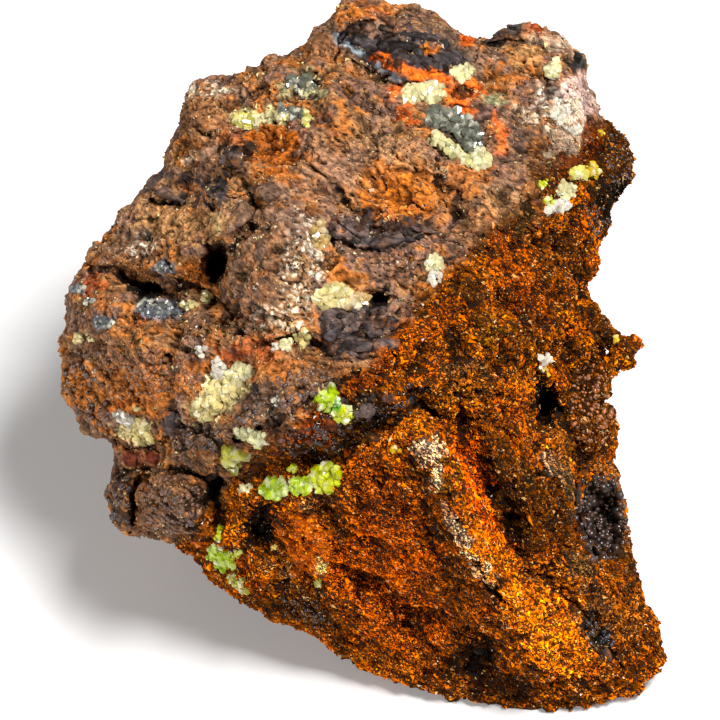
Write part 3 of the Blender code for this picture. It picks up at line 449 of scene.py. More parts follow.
# Clusters of crystals. Each lobe: x, y, half length, half width, turn, crystal size in pixels, count,
# colour.
CLUSTERS = {
    "adamite_rim": [(246, 122, 12, 7, 0, 9, 26, "lemon"), (270, 119, 14, 4, 5, 7, 18, "butter"),
                    (290, 112, 13, 4, -10, 7, 16, "smoke"), (306, 119, 3, 7, 0, 6, 8, "lemon")],
    "adamite_crest_left": [(412, 94, 10, 10, 0, 8, 22, "butter"), (430, 93, 13, 10, 0, 9, 30, "butter")],
    "adamite_crest_right": [(462, 72, 10, 7, 0, 8, 22, "butter")],
    "adamite_grey_patch": [(450, 122, 26, 11, -18, 9, 60, "smoke"), (470, 140, 14, 12, -40, 9, 34, "smoke"),
                           (436, 139, 10, 6, -45, 8, 18, "butter"), (456, 154, 16, 5, -35, 8, 26, "celery"),
                           (480, 160, 8, 9, 0, 9, 18, "butter")],
    "adamite_shoulder": [(560, 112, 8, 13, 10, 6, 30, "milk"), (572, 130, 7, 4, 0, 6, 10, "milk")],
    "adamite_centre": [(333, 296, 18, 11, 10, 9, 52, "straw"), (355, 300, 12, 7, 10, 9, 22, "honey")],
    "adamite_bulge": [(319, 236, 7, 15, 0, 8, 22, "honey")],
    "adamite_slope": [(434, 264, 8, 9, 0, 7, 22, "butter"), (435, 276, 8, 6, 0, 6, 12, "milk")],
    "adamite_left": [(219, 370, 6, 10, 0, 7, 20, "milk"), (240, 373, 12, 9, 10, 8, 28, "butter"),
                     (225, 389, 17, 11, 25, 9, 48, "straw"), (206, 408, 14, 10, 30, 9, 34, "straw")],
    "adamite_lobe": [(124, 418, 12, 5, -18, 7, 14, "milk"), (139, 430, 10, 10, 0, 9, 24, "straw"),
                     (148, 439, 4, 8, 0, 7, 8, "straw")],
    "adamite_block_low": [(234, 457, 10, 9, 0, 11, 14, "olive")],
    "adamite_block_high": [(243, 433, 9, 4, 0, 7, 10, "celery"), (257, 440, 8, 7, 30, 8, 14, "celery")],
    "adamite_green_high": [(326, 398, 11, 8, 40, 8, 30, "lime"), (343, 413, 9, 8, 0, 9, 26, "chartreuse"),
                           (335, 403, 4, 4, 0, 6, 8, "green")],
    "adamite_green_left": [(275, 487, 13, 11, 0, 9, 44, "lime")],
    "adamite_green_right": [(300, 486, 10, 8, 0, 8, 28, "lime"),
                            (326, 478, 15, 12, 20, 9, 56, "chartreuse")],
    "adamite_nodule": [(219, 535, 3, 8, -15, 5, 9, "chartreuse"), (215, 551, 8, 7, 0, 7, 20, "lime"),
                       (226, 560, 11, 9, -40, 8, 34, "lime"), (238, 553, 6, 3, 10, 5, 8, "chartreuse")],
    "adamite_ear_yellow": [(577, 174, 8, 5, 0, 8, 14, "lemon"), (592, 170, 7, 7, 0, 8, 14, "mustard")],
    "adamite_ear_cream": [(566, 190, 7, 8, 40, 7, 20, "butter"), (557, 207, 14, 6, 25, 7, 30, "milk"),
                          (549, 201, 4, 3, 0, 5, 6, "chartreuse")],
    "adamite_crest_foot": [(300, 84, 17, 8, -12, 6, 36, "smoke"), (306, 90, 10, 6, 0, 6, 14, "butter")],
    "adamite_bulge_foot": [(302, 338, 9, 8, 30, 7, 16, "straw"), (286, 346, 6, 5, -20, 6, 10, "butter")],
    "adamite_small_upper": [(78, 338, 4, 4, 0, 7, 5, "straw"), (90, 338, 3, 3, 0, 6, 4, "straw"),
                            (206, 298, 4, 8, -15, 7, 9, "straw"), (190, 306, 7, 5, 20, 6, 9, "straw"),
                            (276, 347, 4, 3, 0, 5, 4, "milk"), (554, 70, 7, 9, 0, 8, 18, "butter"),
                            (200, 352, 5, 5, 0, 5, 6, "milk"), (276, 401, 4, 4, 0, 5, 5, "milk")],
    "steel_ledge": [(157, 309, 20, 8, -8, 6, 34, "blue steel"), (147, 304, 10, 5, 0, 6, 8, "dark steel"),
                    (104, 323, 10, 5, -10, 6, 14, "blue steel"), (164, 268, 9, 4, -5, 5, 12, "blue steel"),
                    (79, 289, 7, 4, -15, 5, 8, "blue steel"), (90, 302, 5, 3, 0, 5, 4, "dark steel")],
    "adamite_small_lower": [(293, 468, 4, 3, 20, 5, 7, "chartreuse"), (244, 490, 3, 4, 0, 6, 5, "butter"),
                            (250, 487, 2, 3, 0, 5, 3, "butter"), (275, 546, 3, 2, 0, 5, 4, "mustard"),
                            (395, 450, 4, 3, 0, 5, 5, "mustard"), (601, 133, 3, 3, 0, 5, 4, "mustard"),
                            (542, 184, 5, 3, 30, 5, 6, "chartreuse"), (544, 362, 4, 8, -30, 7, 10, "milk"),
                            (546, 370, 3, 3, 0, 5, 3, "mustard"), (617, 340, 3, 4, 0, 5, 5, "mustard"),
                            (238, 583, 13, 5, -42, 6, 22, "olive"), (318, 582, 4, 3, 0, 5, 5, "olive")],
}

# Crystal colours, from 0 to 255.
CRYSTALS = {
    "lemon": (224, 212, 96), "butter": (230, 218, 158), "milk": (216, 206, 186), "straw": (224, 204, 132),
    "honey": (200, 164, 100), "olive": (180, 174, 62), "celery": (206, 200, 134), "smoke": (104, 106, 92),
    "lime": (162, 186, 4), "chartreuse": (186, 192, 0), "green": (84, 176, 24), "mustard": (220, 184, 26),
    "blue steel": (78, 81, 84), "dark steel": (28, 31, 35),
}

# Where small rounded knobs crowd: x, y, half length, half width, turn, knob size, two colours.
KNOB_CRUSTS = {
    "vug": (600, 517, 42, 24, -84, 1.0, "knob black", "black"),
    "vug small": (601, 519, 44, 25, -84, 0.75, "knob black", "plum"),
    "vug tiny": (604, 516, 46, 24, -84, 0.55, "knob black", "dark brown"),
    "vug rim": (630, 508, 36, 8, -88, 0.45, "brown orange", "brown"),
    "ground by the split": (292, 388, 46, 18, 10, 0.55, "purple grey", "brown"),
    "ground under the patch": (262, 412, 30, 12, 20, 0.6, "slate", "grey brown"),
    "lobe ground": (150, 376, 50, 26, 5, 0.5, "brown", "rust"),
    "dark lumps": (196, 440, 26, 14, 0, 0.6, "dark brown", "grey brown"),
    "dark band": (345, 428, 60, 22, 22, 0.55, "black", "plum"),
    "band left": (300, 440, 26, 14, 20, 0.5, "dark red", "plum"),
    "band right": (404, 402, 30, 14, 35, 0.5, "black", "dark brown"),
    "ear edge": (620, 165, 14, 42, 0, 0.4, "dark brown", "plum"),
    "ear foot": (600, 225, 12, 30, 20, 0.5, "dark brown", "black"),
    "pit lobe": (592, 402, 24, 40, 0, 0.5, "brown", "rust"),
    "vug brow": (608, 476, 20, 14, -30, 0.42, "brown orange", "brown"),
    "grey foot": (600, 638, 11, 26, 32, 0.55, "black", "slate"),
    "brown foot": (305, 610, 34, 12, -32, 0.4, "dark brown", "plum"),
    "nodule": (172, 508, 32, 32, 0, 0.55, "plum", "brown"),
    "outer lobe": (120, 504, 13, 30, 0, 0.7, "dark brown", "plum"),
    "left lobe": (92, 388, 28, 40, 0, 0.75, "brown", "dark brown"),
}

# Stones and knobs that stand out of the rock: x, y, half length, half width, turn, height, kind, colour.
STONES = {
    "round knob": (322, 46, 10, 13, 0, 0.9, "knob", "brown"),
    "crest knob": (430, 50, 9, 6, -10, 0.7, "knob", "orange"),
    "crest ball": (465, 39, 5, 5, 0, 0.6, "knob", "orange red"),
    "crest lump left": (352, 14, 12, 8, 20, 0.7, "block", "rust"),
    "crest lump right": (385, 22, 12, 7, -30, 0.7, "block", "dark brown"),
    "slab left": (368, 44, 22, 8, -20, 0.6, "plate", "slate"),
    "slab middle": (402, 46, 22, 9, -14, 0.8, "plate", "black"),
    "slab right": (440, 58, 18, 8, -20, 0.7, "plate", "slate"),
    "slab rib": (415, 36, 26, 5, -16, 0.6, "plate", "slate"),
    "shoulder red": (534, 29, 10, 8, 0, 0.9, "knob", "red rust"),
    "shoulder black left": (492, 32, 7, 6, 0, 0.7, "knob", "black"),
    "shoulder black middle": (513, 31, 7, 7, 0, 0.7, "knob", "black"),
    "shoulder tan": (528, 54, 11, 14, 10, 0.7, "block", "tan"),
    "shoulder tan left": (505, 70, 12, 10, 30, 0.6, "block", "stone"),
    "shoulder black right": (577, 61, 10, 8, -20, 0.8, "block", "black"),
    "pink block": (210, 154, 12, 13, 20, 1.0, "block", "stone"),
    "black block": (231, 157, 8, 12, 10, 0.9, "block", "black"),
    "block under the rim": (246, 150, 7, 9, 0, 0.8, "block", "dark brown"),
    "grey ball left": (213, 184, 6, 5, 0, 0.7, "knob", "slate"),
    "grey ball right": (224, 190, 6, 6, 0, 0.7, "knob", "slate"),
    "grey ridge": (164, 182, 24, 6, 20, 0.6, "plate", "slate"),
    "grey ridge low": (176, 197, 26, 6, -14, 0.6, "plate", "purple grey"),
    "pointed block": (236, 216, 15, 11, 15, 1.0, "block", "stone"),
    "block on the bulge": (272, 196, 14, 9, -25, 0.8, "block", "grey brown"),
    "bulge stone": (262, 246, 13, 9, 40, 0.6, "block", "grey brown"),
    "stone in the hollow": (150, 272, 9, 5, 0, 0.6, "block", "dark brown"),
    "flake one": (358, 228, 17, 7, -8, 0.5, "plate", "purple grey"),
    "flake two": (388, 243, 19, 7, -4, 0.5, "plate", "slate"),
    "flake three": (420, 228, 13, 7, 12, 0.5, "plate", "purple grey"),
    "flake four": (344, 316, 16, 9, 10, 0.6, "plate", "purple grey"),
    "flake five": (378, 326, 19, 9, 14, 0.6, "plate", "slate"),
    "flake six": (350, 348, 21, 7, 8, 0.5, "plate", "slate"),
    "flake seven": (392, 344, 13, 7, 16, 0.5, "plate", "purple grey"),
    "flake eight": (322, 336, 10, 7, 20, 0.5, "plate", "dark brown"),
    "dark knob left": (171, 421, 10, 9, 0, 0.9, "knob", "slate"),
    "dark by the left patch": (256, 386, 9, 7, 0, 0.7, "block", "slate"),
    "brown bead": (124, 443, 8, 7, 0, 0.8, "knob", "brown"),
    "red knob left": (131, 459, 12, 9, 0, 1.0, "knob", "dark red"),
    "red knob right": (153, 457, 9, 8, 0, 0.9, "knob", "dark red"),
    "outer bump high": (118, 488, 9, 10, 0, 0.9, "knob", "plum"),
    "outer bump low": (122, 514, 9, 12, 0, 0.9, "knob", "dark brown"),
    "band lump one": (345, 402, 8, 7, 0, 0.8, "knob", "slate"),
    "band lump two": (364, 411, 11, 9, 0, 1.0, "knob", "purple grey"),
    "band lump three": (372, 396, 7, 6, 0, 0.7, "knob", "black"),
    "band lump four": (329, 424, 10, 9, 0, 0.9, "knob", "plum"),
    "band lump five": (311, 441, 9, 8, 0, 0.9, "knob", "plum"),
    "band lump six": (353, 431, 9, 7, 0, 0.8, "block", "dark brown"),
    "band lump seven": (391, 417, 9, 8, 0, 0.8, "knob", "dark brown"),
    "band lump eight": (411, 403, 8, 6, 20, 0.7, "knob", "black"),
    "band lump nine": (296, 452, 9, 7, 30, 0.8, "knob", "dark brown"),
    "band lump ten": (338, 447, 10, 6, 10, 0.7, "block", "black"),
    "band lump eleven": (388, 398, 8, 6, 0, 0.7, "knob", "plum"),
    "band lump twelve": (374, 437, 9, 6, 10, 0.7, "block", "dark brown"),
    "band lump thirteen": (276, 452, 8, 7, 20, 0.7, "knob", "dark red"),
    "foot black": (600, 634, 12, 11, -30, 0.9, "block", "black"),
    "foot black low": (606, 652, 9, 8, -30, 0.8, "block", "slate"),
    "foot pit stone": (480, 650, 9, 7, 0, 0.7, "knob", "black"),
    "foot pit stone right": (500, 596, 7, 9, 30, 0.7, "knob", "black"),
}

# Where thin angular flakes lie: x, y, half length, half width, turn, how many.
FLAKES = [(380, 234, 46, 16, -6, 26), (360, 322, 44, 15, 12, 26), (350, 350, 30, 9, 8, 12),
          (402, 47, 60, 19, -14, 40), (186, 190, 44, 13, -12, 20), (505, 32, 20, 6, 0, 5),
          (226, 165, 14, 16, 0, 8)]


# Numbers and colours

def unit(vectors):
    return vectors / np.maximum(np.linalg.norm(vectors, axis=-1, keepdims=True), 1e-9)


def mix(first, second, share):
    return first + (np.asarray(second) - first) * share


def smooth_step(low, high, values):
    share = np.clip((values - low) / (high - low), 0, 1)
    return share * share * (3 - 2 * share)


def linear(colour):
    """A named colour as the light that it sends back, red, green and blue from 0 to 1."""
    share = np.array(COLOURS[colour][:3] if isinstance(colour, str) else colour) / 255
    return np.where(share < 0.04045, share / 12.92, ((share + 0.055) / 1.055) ** 2.4)


def look(name):
    """A named colour's whole look in one row: its light, its roughness and its share of grains."""
    return np.array([*linear(name), *COLOURS[name][3:]])


# The view

def to_world(u, v, w):
    """The place in the world of points seen at u, v and lying at depth w."""
    taper = 1 - w / VIEW_DISTANCE
    up = v * taper
    place = np.stack([u * taper,
                      up * sin(VIEW_TILT) - w * cos(VIEW_TILT),
                      up * cos(VIEW_TILT) + w * sin(VIEW_TILT)], -1)
    return place + OUTLINE_MIDDLE


def to_view(places):
    """The other way round: u, v and w of places in the world."""
    x, y, z = (places - OUTLINE_MIDDLE).T
    w = z * sin(VIEW_TILT) - y * cos(VIEW_TILT)
    taper = 1 - w / VIEW_DISTANCE
    return x / taper, (y * sin(VIEW_TILT) + z * cos(VIEW_TILT)) / taper, w


def seen_at(places):
    """The photograph's pixel, across and down, where places in the world are seen."""
    u, v, _ = to_view(places)
    return MIDDLE_PIXEL[0] + u / PIXEL, MIDDLE_PIXEL[1] - v / PIXEL


def on_outline_plane(x, y):
    """The place that a pixel shows on the plane of the rock's outline."""
    return (x - MIDDLE_PIXEL[0]) * PIXEL * RIGHT + (MIDDLE_PIXEL[1] - y) * PIXEL * UP + OUTLINE_MIDDLE


# Noise, ovals and lines

def drawn_out(places):
    """Places squeezed along the rock's fabric, so that noise drawn at them runs along it."""
    return places - FABRIC_SQUEEZE * (places @ FABRIC)[:, None] * FABRIC


def noise_at(places, size, octaves=1):
    """Rounded noise from about -1 to 1 at places, its waves about so many millimetres long.

    Callers shift the places by a number of their own, so that no two noises are alike.
    """
    if octaves == 1:
        return np.array([noise.noise(place) for place in (places / size).tolist()])
    return np.array([noise.fractal(place, 1.0, 2.0, octaves) for place in (places / size).tolist()])


def noise_shifts(places, size, shifts):
    """Three noises side by side, to push places about."""
    return np.stack([noise_at(places + shift, size, 2) for shift in shifts], -1)


def cells_at(places, size):
    """The jigsaw of cells that places lie in: its cell's height, the nearness of its border, and
    the distance to its middle, the last two as shares of the cell size."""
    found = [noise.voronoi(place) for place in (places / size).tolist()]
    nearest = np.array([distances[:2] for distances, _ in found])
    middles = np.array([points[0][:] for _, points in found])
    heights = np.sin(middles @ (127.1, 311.7, 74.7))
    return heights, nearest[:, 1] - nearest[:, 0], nearest[:, 0]


def oval(x, y, middle_x, middle_y, half_length, half_width, turn):
    """How far out in an oval points are: 0 at its middle and 1 on its edge."""
    right = x - middle_x
    up = middle_y - y
    along = cos(radians(turn)) * right + sin(radians(turn)) * up
    aside = cos(radians(turn)) * up - sin(radians(turn)) * right
    return np.sqrt((along / half_length) ** 2 + (aside / half_width) ** 2)


def in_oval(x, y, along, aside, turn):
    """The pixel so far along and aside from the middle of an oval."""
    return (x + along * cos(radians(turn)) - aside * sin(radians(turn)),
            y - along * sin(radians(turn)) - aside * cos(radians(turn)))


def spiral(count):
    """Points spread evenly on a disc: how far out each lies, from 0 to 1, and at what angle."""
    for number in range(count):
        yield sqrt((number + 0.5) / count), number * pi * (3 - sqrt(5))


def distance_to_line(x, y, points):
    """How far pixels lie from a line through several points."""
    nearest = np.full(len(x), np.inf)
    for (start_x, start_y), (end_x, end_y) in zip(points, points[1:]):
        run_x = end_x - start_x
        run_y = end_y - start_y
        share = ((x - start_x) * run_x + (y - start_y) * run_y) / (run_x ** 2 + run_y ** 2)
        share = np.clip(share, 0, 1)
        distance = np.hypot(x - start_x - share * run_x, y - start_y - share * run_y)
        nearest = np.minimum(nearest, distance)
    return nearest


def lower_half(x, y, places):
    """1 in the richly coloured druse at the lower right, 0 in the browner rock at the upper left."""
    past_the_split = (x + y - PICTURE_SIZE) / sqrt(2) + SPLIT_WANDER * noise_at(places, 3.0, 3)
    return smooth_step(-SPLIT_BLEND, SPLIT_BLEND, past_the_split)


# Things and meshes

def add_thing(name, data):
    thing = bpy.data.objects.new(name, data)
    bpy.context.scene.collection.objects.link(thing)
    return thing


def apply_modifiers(thing):
    evaluated = thing.evaluated_get(bpy.context.evaluated_depsgraph_get())
    mesh = bpy.data.meshes.new_from_object(evaluated)
    thing.modifiers.clear()
    thing.data = mesh


def read(items, name, width, kind=np.float32):
    """What a mesh's points, edges or triangles hold under a name, as rows of that width."""
    flat = np.empty(len(items) * width, kind)
    items.foreach_get(name, flat)
    return flat.reshape(-1, width)


def places_of(mesh):
    """A mesh's points in millimetres."""
    return read(mesh.vertices, "co", 3).astype(float) / MM


def set_places(mesh, places):
    mesh.vertices.foreach_set("co", (places * MM).astype(np.float32).ravel())
    mesh.update()


def normals_of(mesh):
    return read(mesh.vertex_normals, "vector", 3).astype(float)


def edges_of(mesh):
    return read(mesh.edges, "vertices", 2, np.int32)


def triangles_of(mesh):
    mesh.calc_loop_triangles()
    return read(mesh.loop_triangles, "vertices", 3, np.int32)


def smoothed(values, edges, rounds, pull=0.5):
    """Values at a mesh's points, drawn towards their neighbours' mean, in so many rounds."""
    values = values.copy()
    start, end = edges.T
    number = len(values)
    count = np.maximum(np.bincount(start, minlength=number) + np.bincount(end, minlength=number), 1)
    for _ in range(rounds):
        total = np.empty_like(values)
        for axis in range(values.shape[1]):
            column = values[:, axis]
            from_ends = np.bincount(start, column[end], number)
            from_starts = np.bincount(end, column[start], number)
            total[:, axis] = from_ends + from_starts
        values += pull * (total / count[:, None] - values)
    return values


def stretched_over(values, edges, rounds, moving):
    """Values at a mesh's points, with those in some places drawn flat between the rest."""
    edges = edges[moving[edges].any(1)]
    used, local = np.unique(edges, return_inverse=True)
    local = local.reshape(-1, 2)
    fixed = ~moving[used]
    area = values[used].copy()
    kept = area[fixed]
    for _ in range(rounds):
        area = smoothed(area, local, 1, 0.9)
        area[fixed] = kept
    stretched = values.copy()
    stretched[used] = area
    return stretched


def ball_shape(rounds):
    """A ball's corners and faces."""
    work = bmesh.new()
    bmesh.ops.create_icosphere(work, subdivisions=rounds, radius=1)
    corners = np.array([vertex.co[:] for vertex in work.verts])
    faces = np.array([[vertex.index for vertex in face.verts] for face in work.faces])
    work.free()
    return corners, faces


def mesh_of_shapes(name, shapes, faces):
    """One mesh of many shapes, given as the corners of each. All have the same faces."""
    count, corners = shapes.shape[:2]
    numbers = (faces[None] + corners * np.arange(count)[:, None, None]).reshape(-1, 3)
    mesh = bpy.data.meshes.new(name)
    mesh.from_pydata((shapes.reshape(-1, 3) * MM).tolist(), [], numbers.tolist())
    return mesh


def set_colours(mesh, colours):
    attribute = mesh.attributes.new("colour", "FLOAT_COLOR", "POINT")
    padded = np.ones((len(colours), 4), np.float32)
    padded[:, :3] = np.clip(colours, 0, 1)
    attribute.data.foreach_set("color", padded.ravel())


def set_values(mesh, name, values):
    attribute = mesh.attributes.new(name, "FLOAT", "POINT")
    attribute.data.foreach_set("value", np.asarray(values, np.float32))


def set_fabric(mesh):
    """Store where each point lies in the rock's drawn-out fabric, for the rock's material."""
    attribute = mesh.attributes.new("fabric", "FLOAT_VECTOR", "POINT")
    attribute.data.foreach_set("vector", (drawn_out(places_of(mesh)) * MM).astype(np.float32).ravel())


def add_piece(thing, material, slot, *replaced):
    thing.data.materials.clear()
    thing.data.materials.append(material)
    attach(thing, "root")
    if replaced:
        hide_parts(*replaced)


# The rock's shape

def main_rock():
    """The rock, from its solid: seats filled, faces rounded, relief added."""
    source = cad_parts["limonite_matrix"]
    work = bmesh.new()
    work.from_mesh(source.data)
    bmesh.ops.remove_doubles(work, verts=work.verts, dist=1e-6)
    mesh = bpy.data.meshes.new("limonite_rock")
    work.to_mesh(mesh)
    work.free()
    rock = add_thing("limonite_rock", mesh)
    modifier = rock.modifiers.new("Remesh", "REMESH")
    modifier.mode = "VOXEL"
    modifier.voxel_size = VOXEL * MM
    apply_modifiers(rock)
    places = places_of(rock.data)
    edges = edges_of(rock.data)
    places = fill_seats(places, edges)
    places = smoothed(places, edges, SOFTENING_ROUNDS)
    set_places(rock.data, places)
    places = carve(places, normals_of(rock.data))
    set_places(rock.data, places)
    normals = unit(smoothed(normals_of(rock.data), edges, EVEN_ROUNDS))
    places = places + normals * relief(places, normals)[:, None]
    places[:, 2] = np.maximum(places[:, 2], 0)
    set_places(rock.data, places)
    thin_out(rock)
    rock.data.shade_smooth()
    return rock


def fill_seats(places, edges):
    """Spread the rock across the seats of the crystal clusters, as a skin over each."""
    inside = np.zeros(len(places), bool)
    for name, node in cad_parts.items():
        if name == "limonite_matrix":
            continue
        work = bmesh.new()
        work.from_mesh(node.data)
        hull = bmesh.ops.convex_hull(work, input=work.verts)
        faces = [piece for piece in hull["geom"] if isinstance(piece, bmesh.types.BMFace)]
        reach = np.full(len(places), -np.inf)
        for face in faces:
            corner = np.array(face.verts[0].co) / MM
            reach = np.maximum(reach, (places - corner) @ np.array(face.normal))
        inside |= reach < SEAT_MARGIN
        work.free()
    return stretched_over(places, edges, SEAT_ROUNDS, inside)


def carve(places, normals):
    """Sink hollows and cracks into the front, and raise lumps and ribs, along the line of sight."""
    u, v, w = to_view(places)
    x, y = seen_at(places)
    front = smooth_step(-0.1, 0.25, normals @ TOWARDS) * smooth_step(-3, 1, w)
    x += CARVING_WANDER * noise_at(places + 60, 1.4, 2)
    y += CARVING_WANDER * noise_at(places + 70, 1.4, 2)
    rise = np.zeros(len(places))
    for *place, height in CARVED_SPOTS.values():
        rise += height * np.clip(1 - oval(x, y, *place) ** 2, 0, 1) ** 1.2
    for half_width, height, points in CARVED_LINES.values():
        nearest = distance_to_line(x, y, points)
        rise += height * np.clip(1 - (nearest / half_width) ** 2, 0, 1)
    return to_world(u, v, w + rise * front)


def relief(places, normals):
    """How far the surface stands out at each place: lumps, blocks, cracks and pits."""
    lumps = 0.5 * noise_at(places, 2.6, 3)
    ridges = 1 - 2 * np.abs(noise_at(places, 1.4, 3))
    _, _, nearest = cells_at(places, 1.6)
    height = lumps + 0.12 * ridges - 0.5 * np.clip(1 - nearest / 0.26, 0, 1) ** 0.6
    facing = smooth_step(-0.3, 0.1, normals @ TOWARDS)
    front = np.nonzero(facing)[0]
    fine = front_relief(places[front], normals[front], lumps[front], ridges[front])
    height[front] = mix(height[front], fine, facing[front])
    return height


def front_relief(places, normals, lumps, ridges):
    """The front's finer relief: porous, cracked blocks in the upper half and clods in the lower."""
    x, y = seen_at(places)
    lower = lower_half(x, y, places)
    facing = smooth_step(-0.15, 0.2, normals @ TOWARDS)
    rough = smooth_step(0.05, 0.4, paint(x, y, places, facing)[:, GRAINS])
    porous = smooth_step(-0.1, 0.35, noise_at(places + 180, 7.0, 2))
    rugged = smooth_step(-0.25, 0.3, noise_at(places + 240, 5.0, 2))
    warp = noise_shifts(places, 1.1, (0, 50, 90))
    fabric = drawn_out(places + 0.3 * warp)
    grit = noise_at(fabric, 0.4, 2)
    wide_height, wide_gap, _ = cells_at(drawn_out(places + 0.7 * warp), 2.4)
    height, gap, _ = cells_at(fabric, 1.0)
    _, _, nearest = cells_at(fabric + 30, 1.2)
    _, _, small_nearest = cells_at(fabric + 60, 0.7)
    blocks = (0.15 + 0.3 * rugged) * wide_height + 0.12 * rugged * height
    cracks = -0.35 * rugged * np.clip(1 - wide_gap / 0.08, 0, 1)
    pits = (-(0.25 + 0.45 * porous) * np.clip(1 - nearest / 0.24, 0, 1) ** 0.6
            - 0.35 * porous * np.clip(1 - small_nearest / 0.3, 0, 1) ** 0.7)
    upper_relief = (lumps + rough * (blocks + cracks + pits + (0.02 + 0.07 * rugged) * ridges)
                    + (0.04 + 0.12 * rough) * grit)
    clods = 0.3 * ridges + 0.25 * height + 0.08 * grit - 0.5 * np.clip(1 - gap / 0.2, 0, 1)
    lower_relief = lumps + (0.2 + 0.8 * rough) * (0.5 + 0.5 * rugged) * clods
    return mix(upper_relief, lower_relief, lower)


def thin_out(thing):
    """Bring a mesh down to fewer triangles: the most on the front's bare rock, the fewest behind."""
    thing.modifiers.new("Triangulate", "TRIANGULATE")
    apply_modifiers(thing)
    for zone, number in enumerate((BACK_TRIANGLES, DRUSE_TRIANGLES, BARE_TRIANGLES)):
        mesh = thing.data
        x, y = seen_at(places_of(mesh))
        front = unit(smoothed(normals_of(mesh), edges_of(mesh), 6)) @ TOWARDS > -0.15
        zones = np.where(front, np.where(x + y > PICTURE_SIZE, 1, 2), 0)
        inside = zones == zone
        triangles = triangles_of(mesh)
        found = inside[triangles].all(1).sum()
        thing.vertex_groups.clear()
        group = thing.vertex_groups.new(name="zone")
        group.add(np.nonzero(inside)[0].tolist(), 1, "REPLACE")
        modifier = thing.modifiers.new("Thin out", "DECIMATE")
        modifier.vertex_group = "zone"
        modifier.use_collapse_triangulate = True
        modifier.ratio = (len(triangles) - found + number) / len(triangles)
        apply_modifiers(thing)
    thing.vertex_groups.clear()
    modifier = thing.modifiers.new("Thin out", "DECIMATE")
    modifier.ratio = min(1, ROCK_TRIANGLES / len(thing.data.polygons))
    apply_modifiers(thing)


# The rock's colours

def paint(x, y, places, facing):
    """The rock's look at places: its two grounds, and the patches on the side that is seen."""
    lower = lower_half(x, y, places)[:, None]
    broad = noise_at(places, 4.5, 3)[:, None]
    fine = noise_at(drawn_out(places) + 40, 1.1, 4)[:, None]
    yellow = smooth_step(-0.15, 0.2, broad + 0.3 * fine)
    upper_ground = mix(look("purple brown"), look("yellow brown"), yellow)
    upper_ground = mix(upper_ground, look("rust"), 0.8 * smooth_step(0.2, 0.45, 0.7 * broad + fine))
    upper_ground = mix(upper_ground, look("dark brown"), 0.7 * smooth_step(0.2, 0.5, 0.5 * broad - fine))
    lower_ground = mix(look("umber"), look("deep ochre"), smooth_step(-0.4, 0, fine))
    lower_ground = mix(lower_ground, look("lit rust"), smooth_step(-0.1, 0.3, broad + 0.5 * fine))
    lower_ground = mix(lower_ground, look("ochre"), smooth_step(0, 0.3, fine))
    row = mix(upper_ground, lower_ground, lower)
    drift_x = PATCH_WANDER * noise_at(places + 80, 1.6, 4)
    drift_y = PATCH_WANDER * noise_at(places + 120, 1.6, 4)
    for middle_x, middle_y, half_length, half_width, turn, name, strength in PATCHES.values():
        # far enough out for the patch's strayed edge
        reach = max(half_length, half_width) * 1.3 + 12
        near = np.nonzero((np.abs(x - middle_x) < reach) & (np.abs(y - middle_y) < reach))[0]
        small = min(1, min(half_length, half_width) / SMALL_PATCH)
        out = oval(x[near] + small * drift_x[near], y[near] + small * drift_y[near],
                   middle_x, middle_y, half_length, half_width, turn)
        cover = strength * (1 - smooth_step(*PATCH_EDGE, out)) * facing[near]
        row[near] = mix(row[near], look(name), cover[:, None])
    return row


def paint_rock(rock):
    """Colour the rock, and return its surface for the grains, its look and its share of lower half."""
    mesh = rock.data
    places = places_of(mesh)
    edges = edges_of(mesh)
    even_places = smoothed(places, edges, EVEN_ROUNDS)
    normals = unit(smoothed(normals_of(mesh), edges, EVEN_ROUNDS))
    facing = smooth_step(-0.15, 0.2, normals @ TOWARDS)
    x, y = seen_at(places)
    lower = lower_half(x, y, places)
    row = paint(x, y, places, facing)
    # Painted shade and highlight: sunk and deep measure small and broad hollows, which are painted darker,
    # and raised edges are painted lighter and tan.
    sunk = ((even_places - places) * normals).sum(1)
    deep = ((smoothed(places, edges, HOLLOW_ROUNDS) - places) * normals).sum(1)
    upper = (1 - lower) * smooth_step(0.1, 0.3, row[:, GRAINS])
    specks = noise_at(places + 150, 0.5, 2)
    rusty = smooth_step(-0.3, 0.3, noise_at(places + 170, 6.0, 2))
    rust_share = 0.5 * rusty * upper * smooth_step(0.2, 0.4, specks)
    dark_share = 0.5 * upper * smooth_step(0.2, 0.45, -specks)
    tan_share = 0.15 * upper * smooth_step(0.03, 0.12, -sunk)
    _, gap, _ = cells_at(places + 0.5 * noise_shifts(places, 0.8, (15, 25, 35)), 0.9)
    web = sum(1 - smooth_step(0.6, 1.1, oval(x, y, *place)) for place in WEBS)
    web = np.clip(web, 0, 1) * (1 - smooth_step(0.03, 0.16, gap)) * facing * smooth_step(-0.3, 0.1, specks)
    colours = mix(row[:, :3], linear("rust"), rust_share[:, None])
    colours = mix(colours, linear("dark brown"), dark_share[:, None])
    colours = mix(colours, linear("tan"), tan_share[:, None])
    colours = mix(colours, linear("pale crystal"), 0.6 * web[:, None])
    # painted shade in hollows and painted highlight on raised edges
    shade = np.clip(1 - 4.5 * sunk, 0.12, 1.2) * np.clip(1.05 - 1.4 * deep, 0.3, 1.3)
    # painted shade: the rock between the lower half's grains is darkened
    shade_between_grains = 1 - 0.9 * lower * row[:, GRAINS]
    set_colours(mesh, colours * shade[:, None] * shade_between_grains[:, None])
    set_values(mesh, "roughness", row[:, ROUGHNESS])
    set_fabric(mesh)
    set_values(mesh, "porous", (1 - lower) * smooth_step(0.2, 0.35, row[:, GRAINS]))
    surface = Surface(places, normals, triangles_of(mesh), np.clip(shade, 0.2, 1.2))
    return surface, row, lower


# Materials

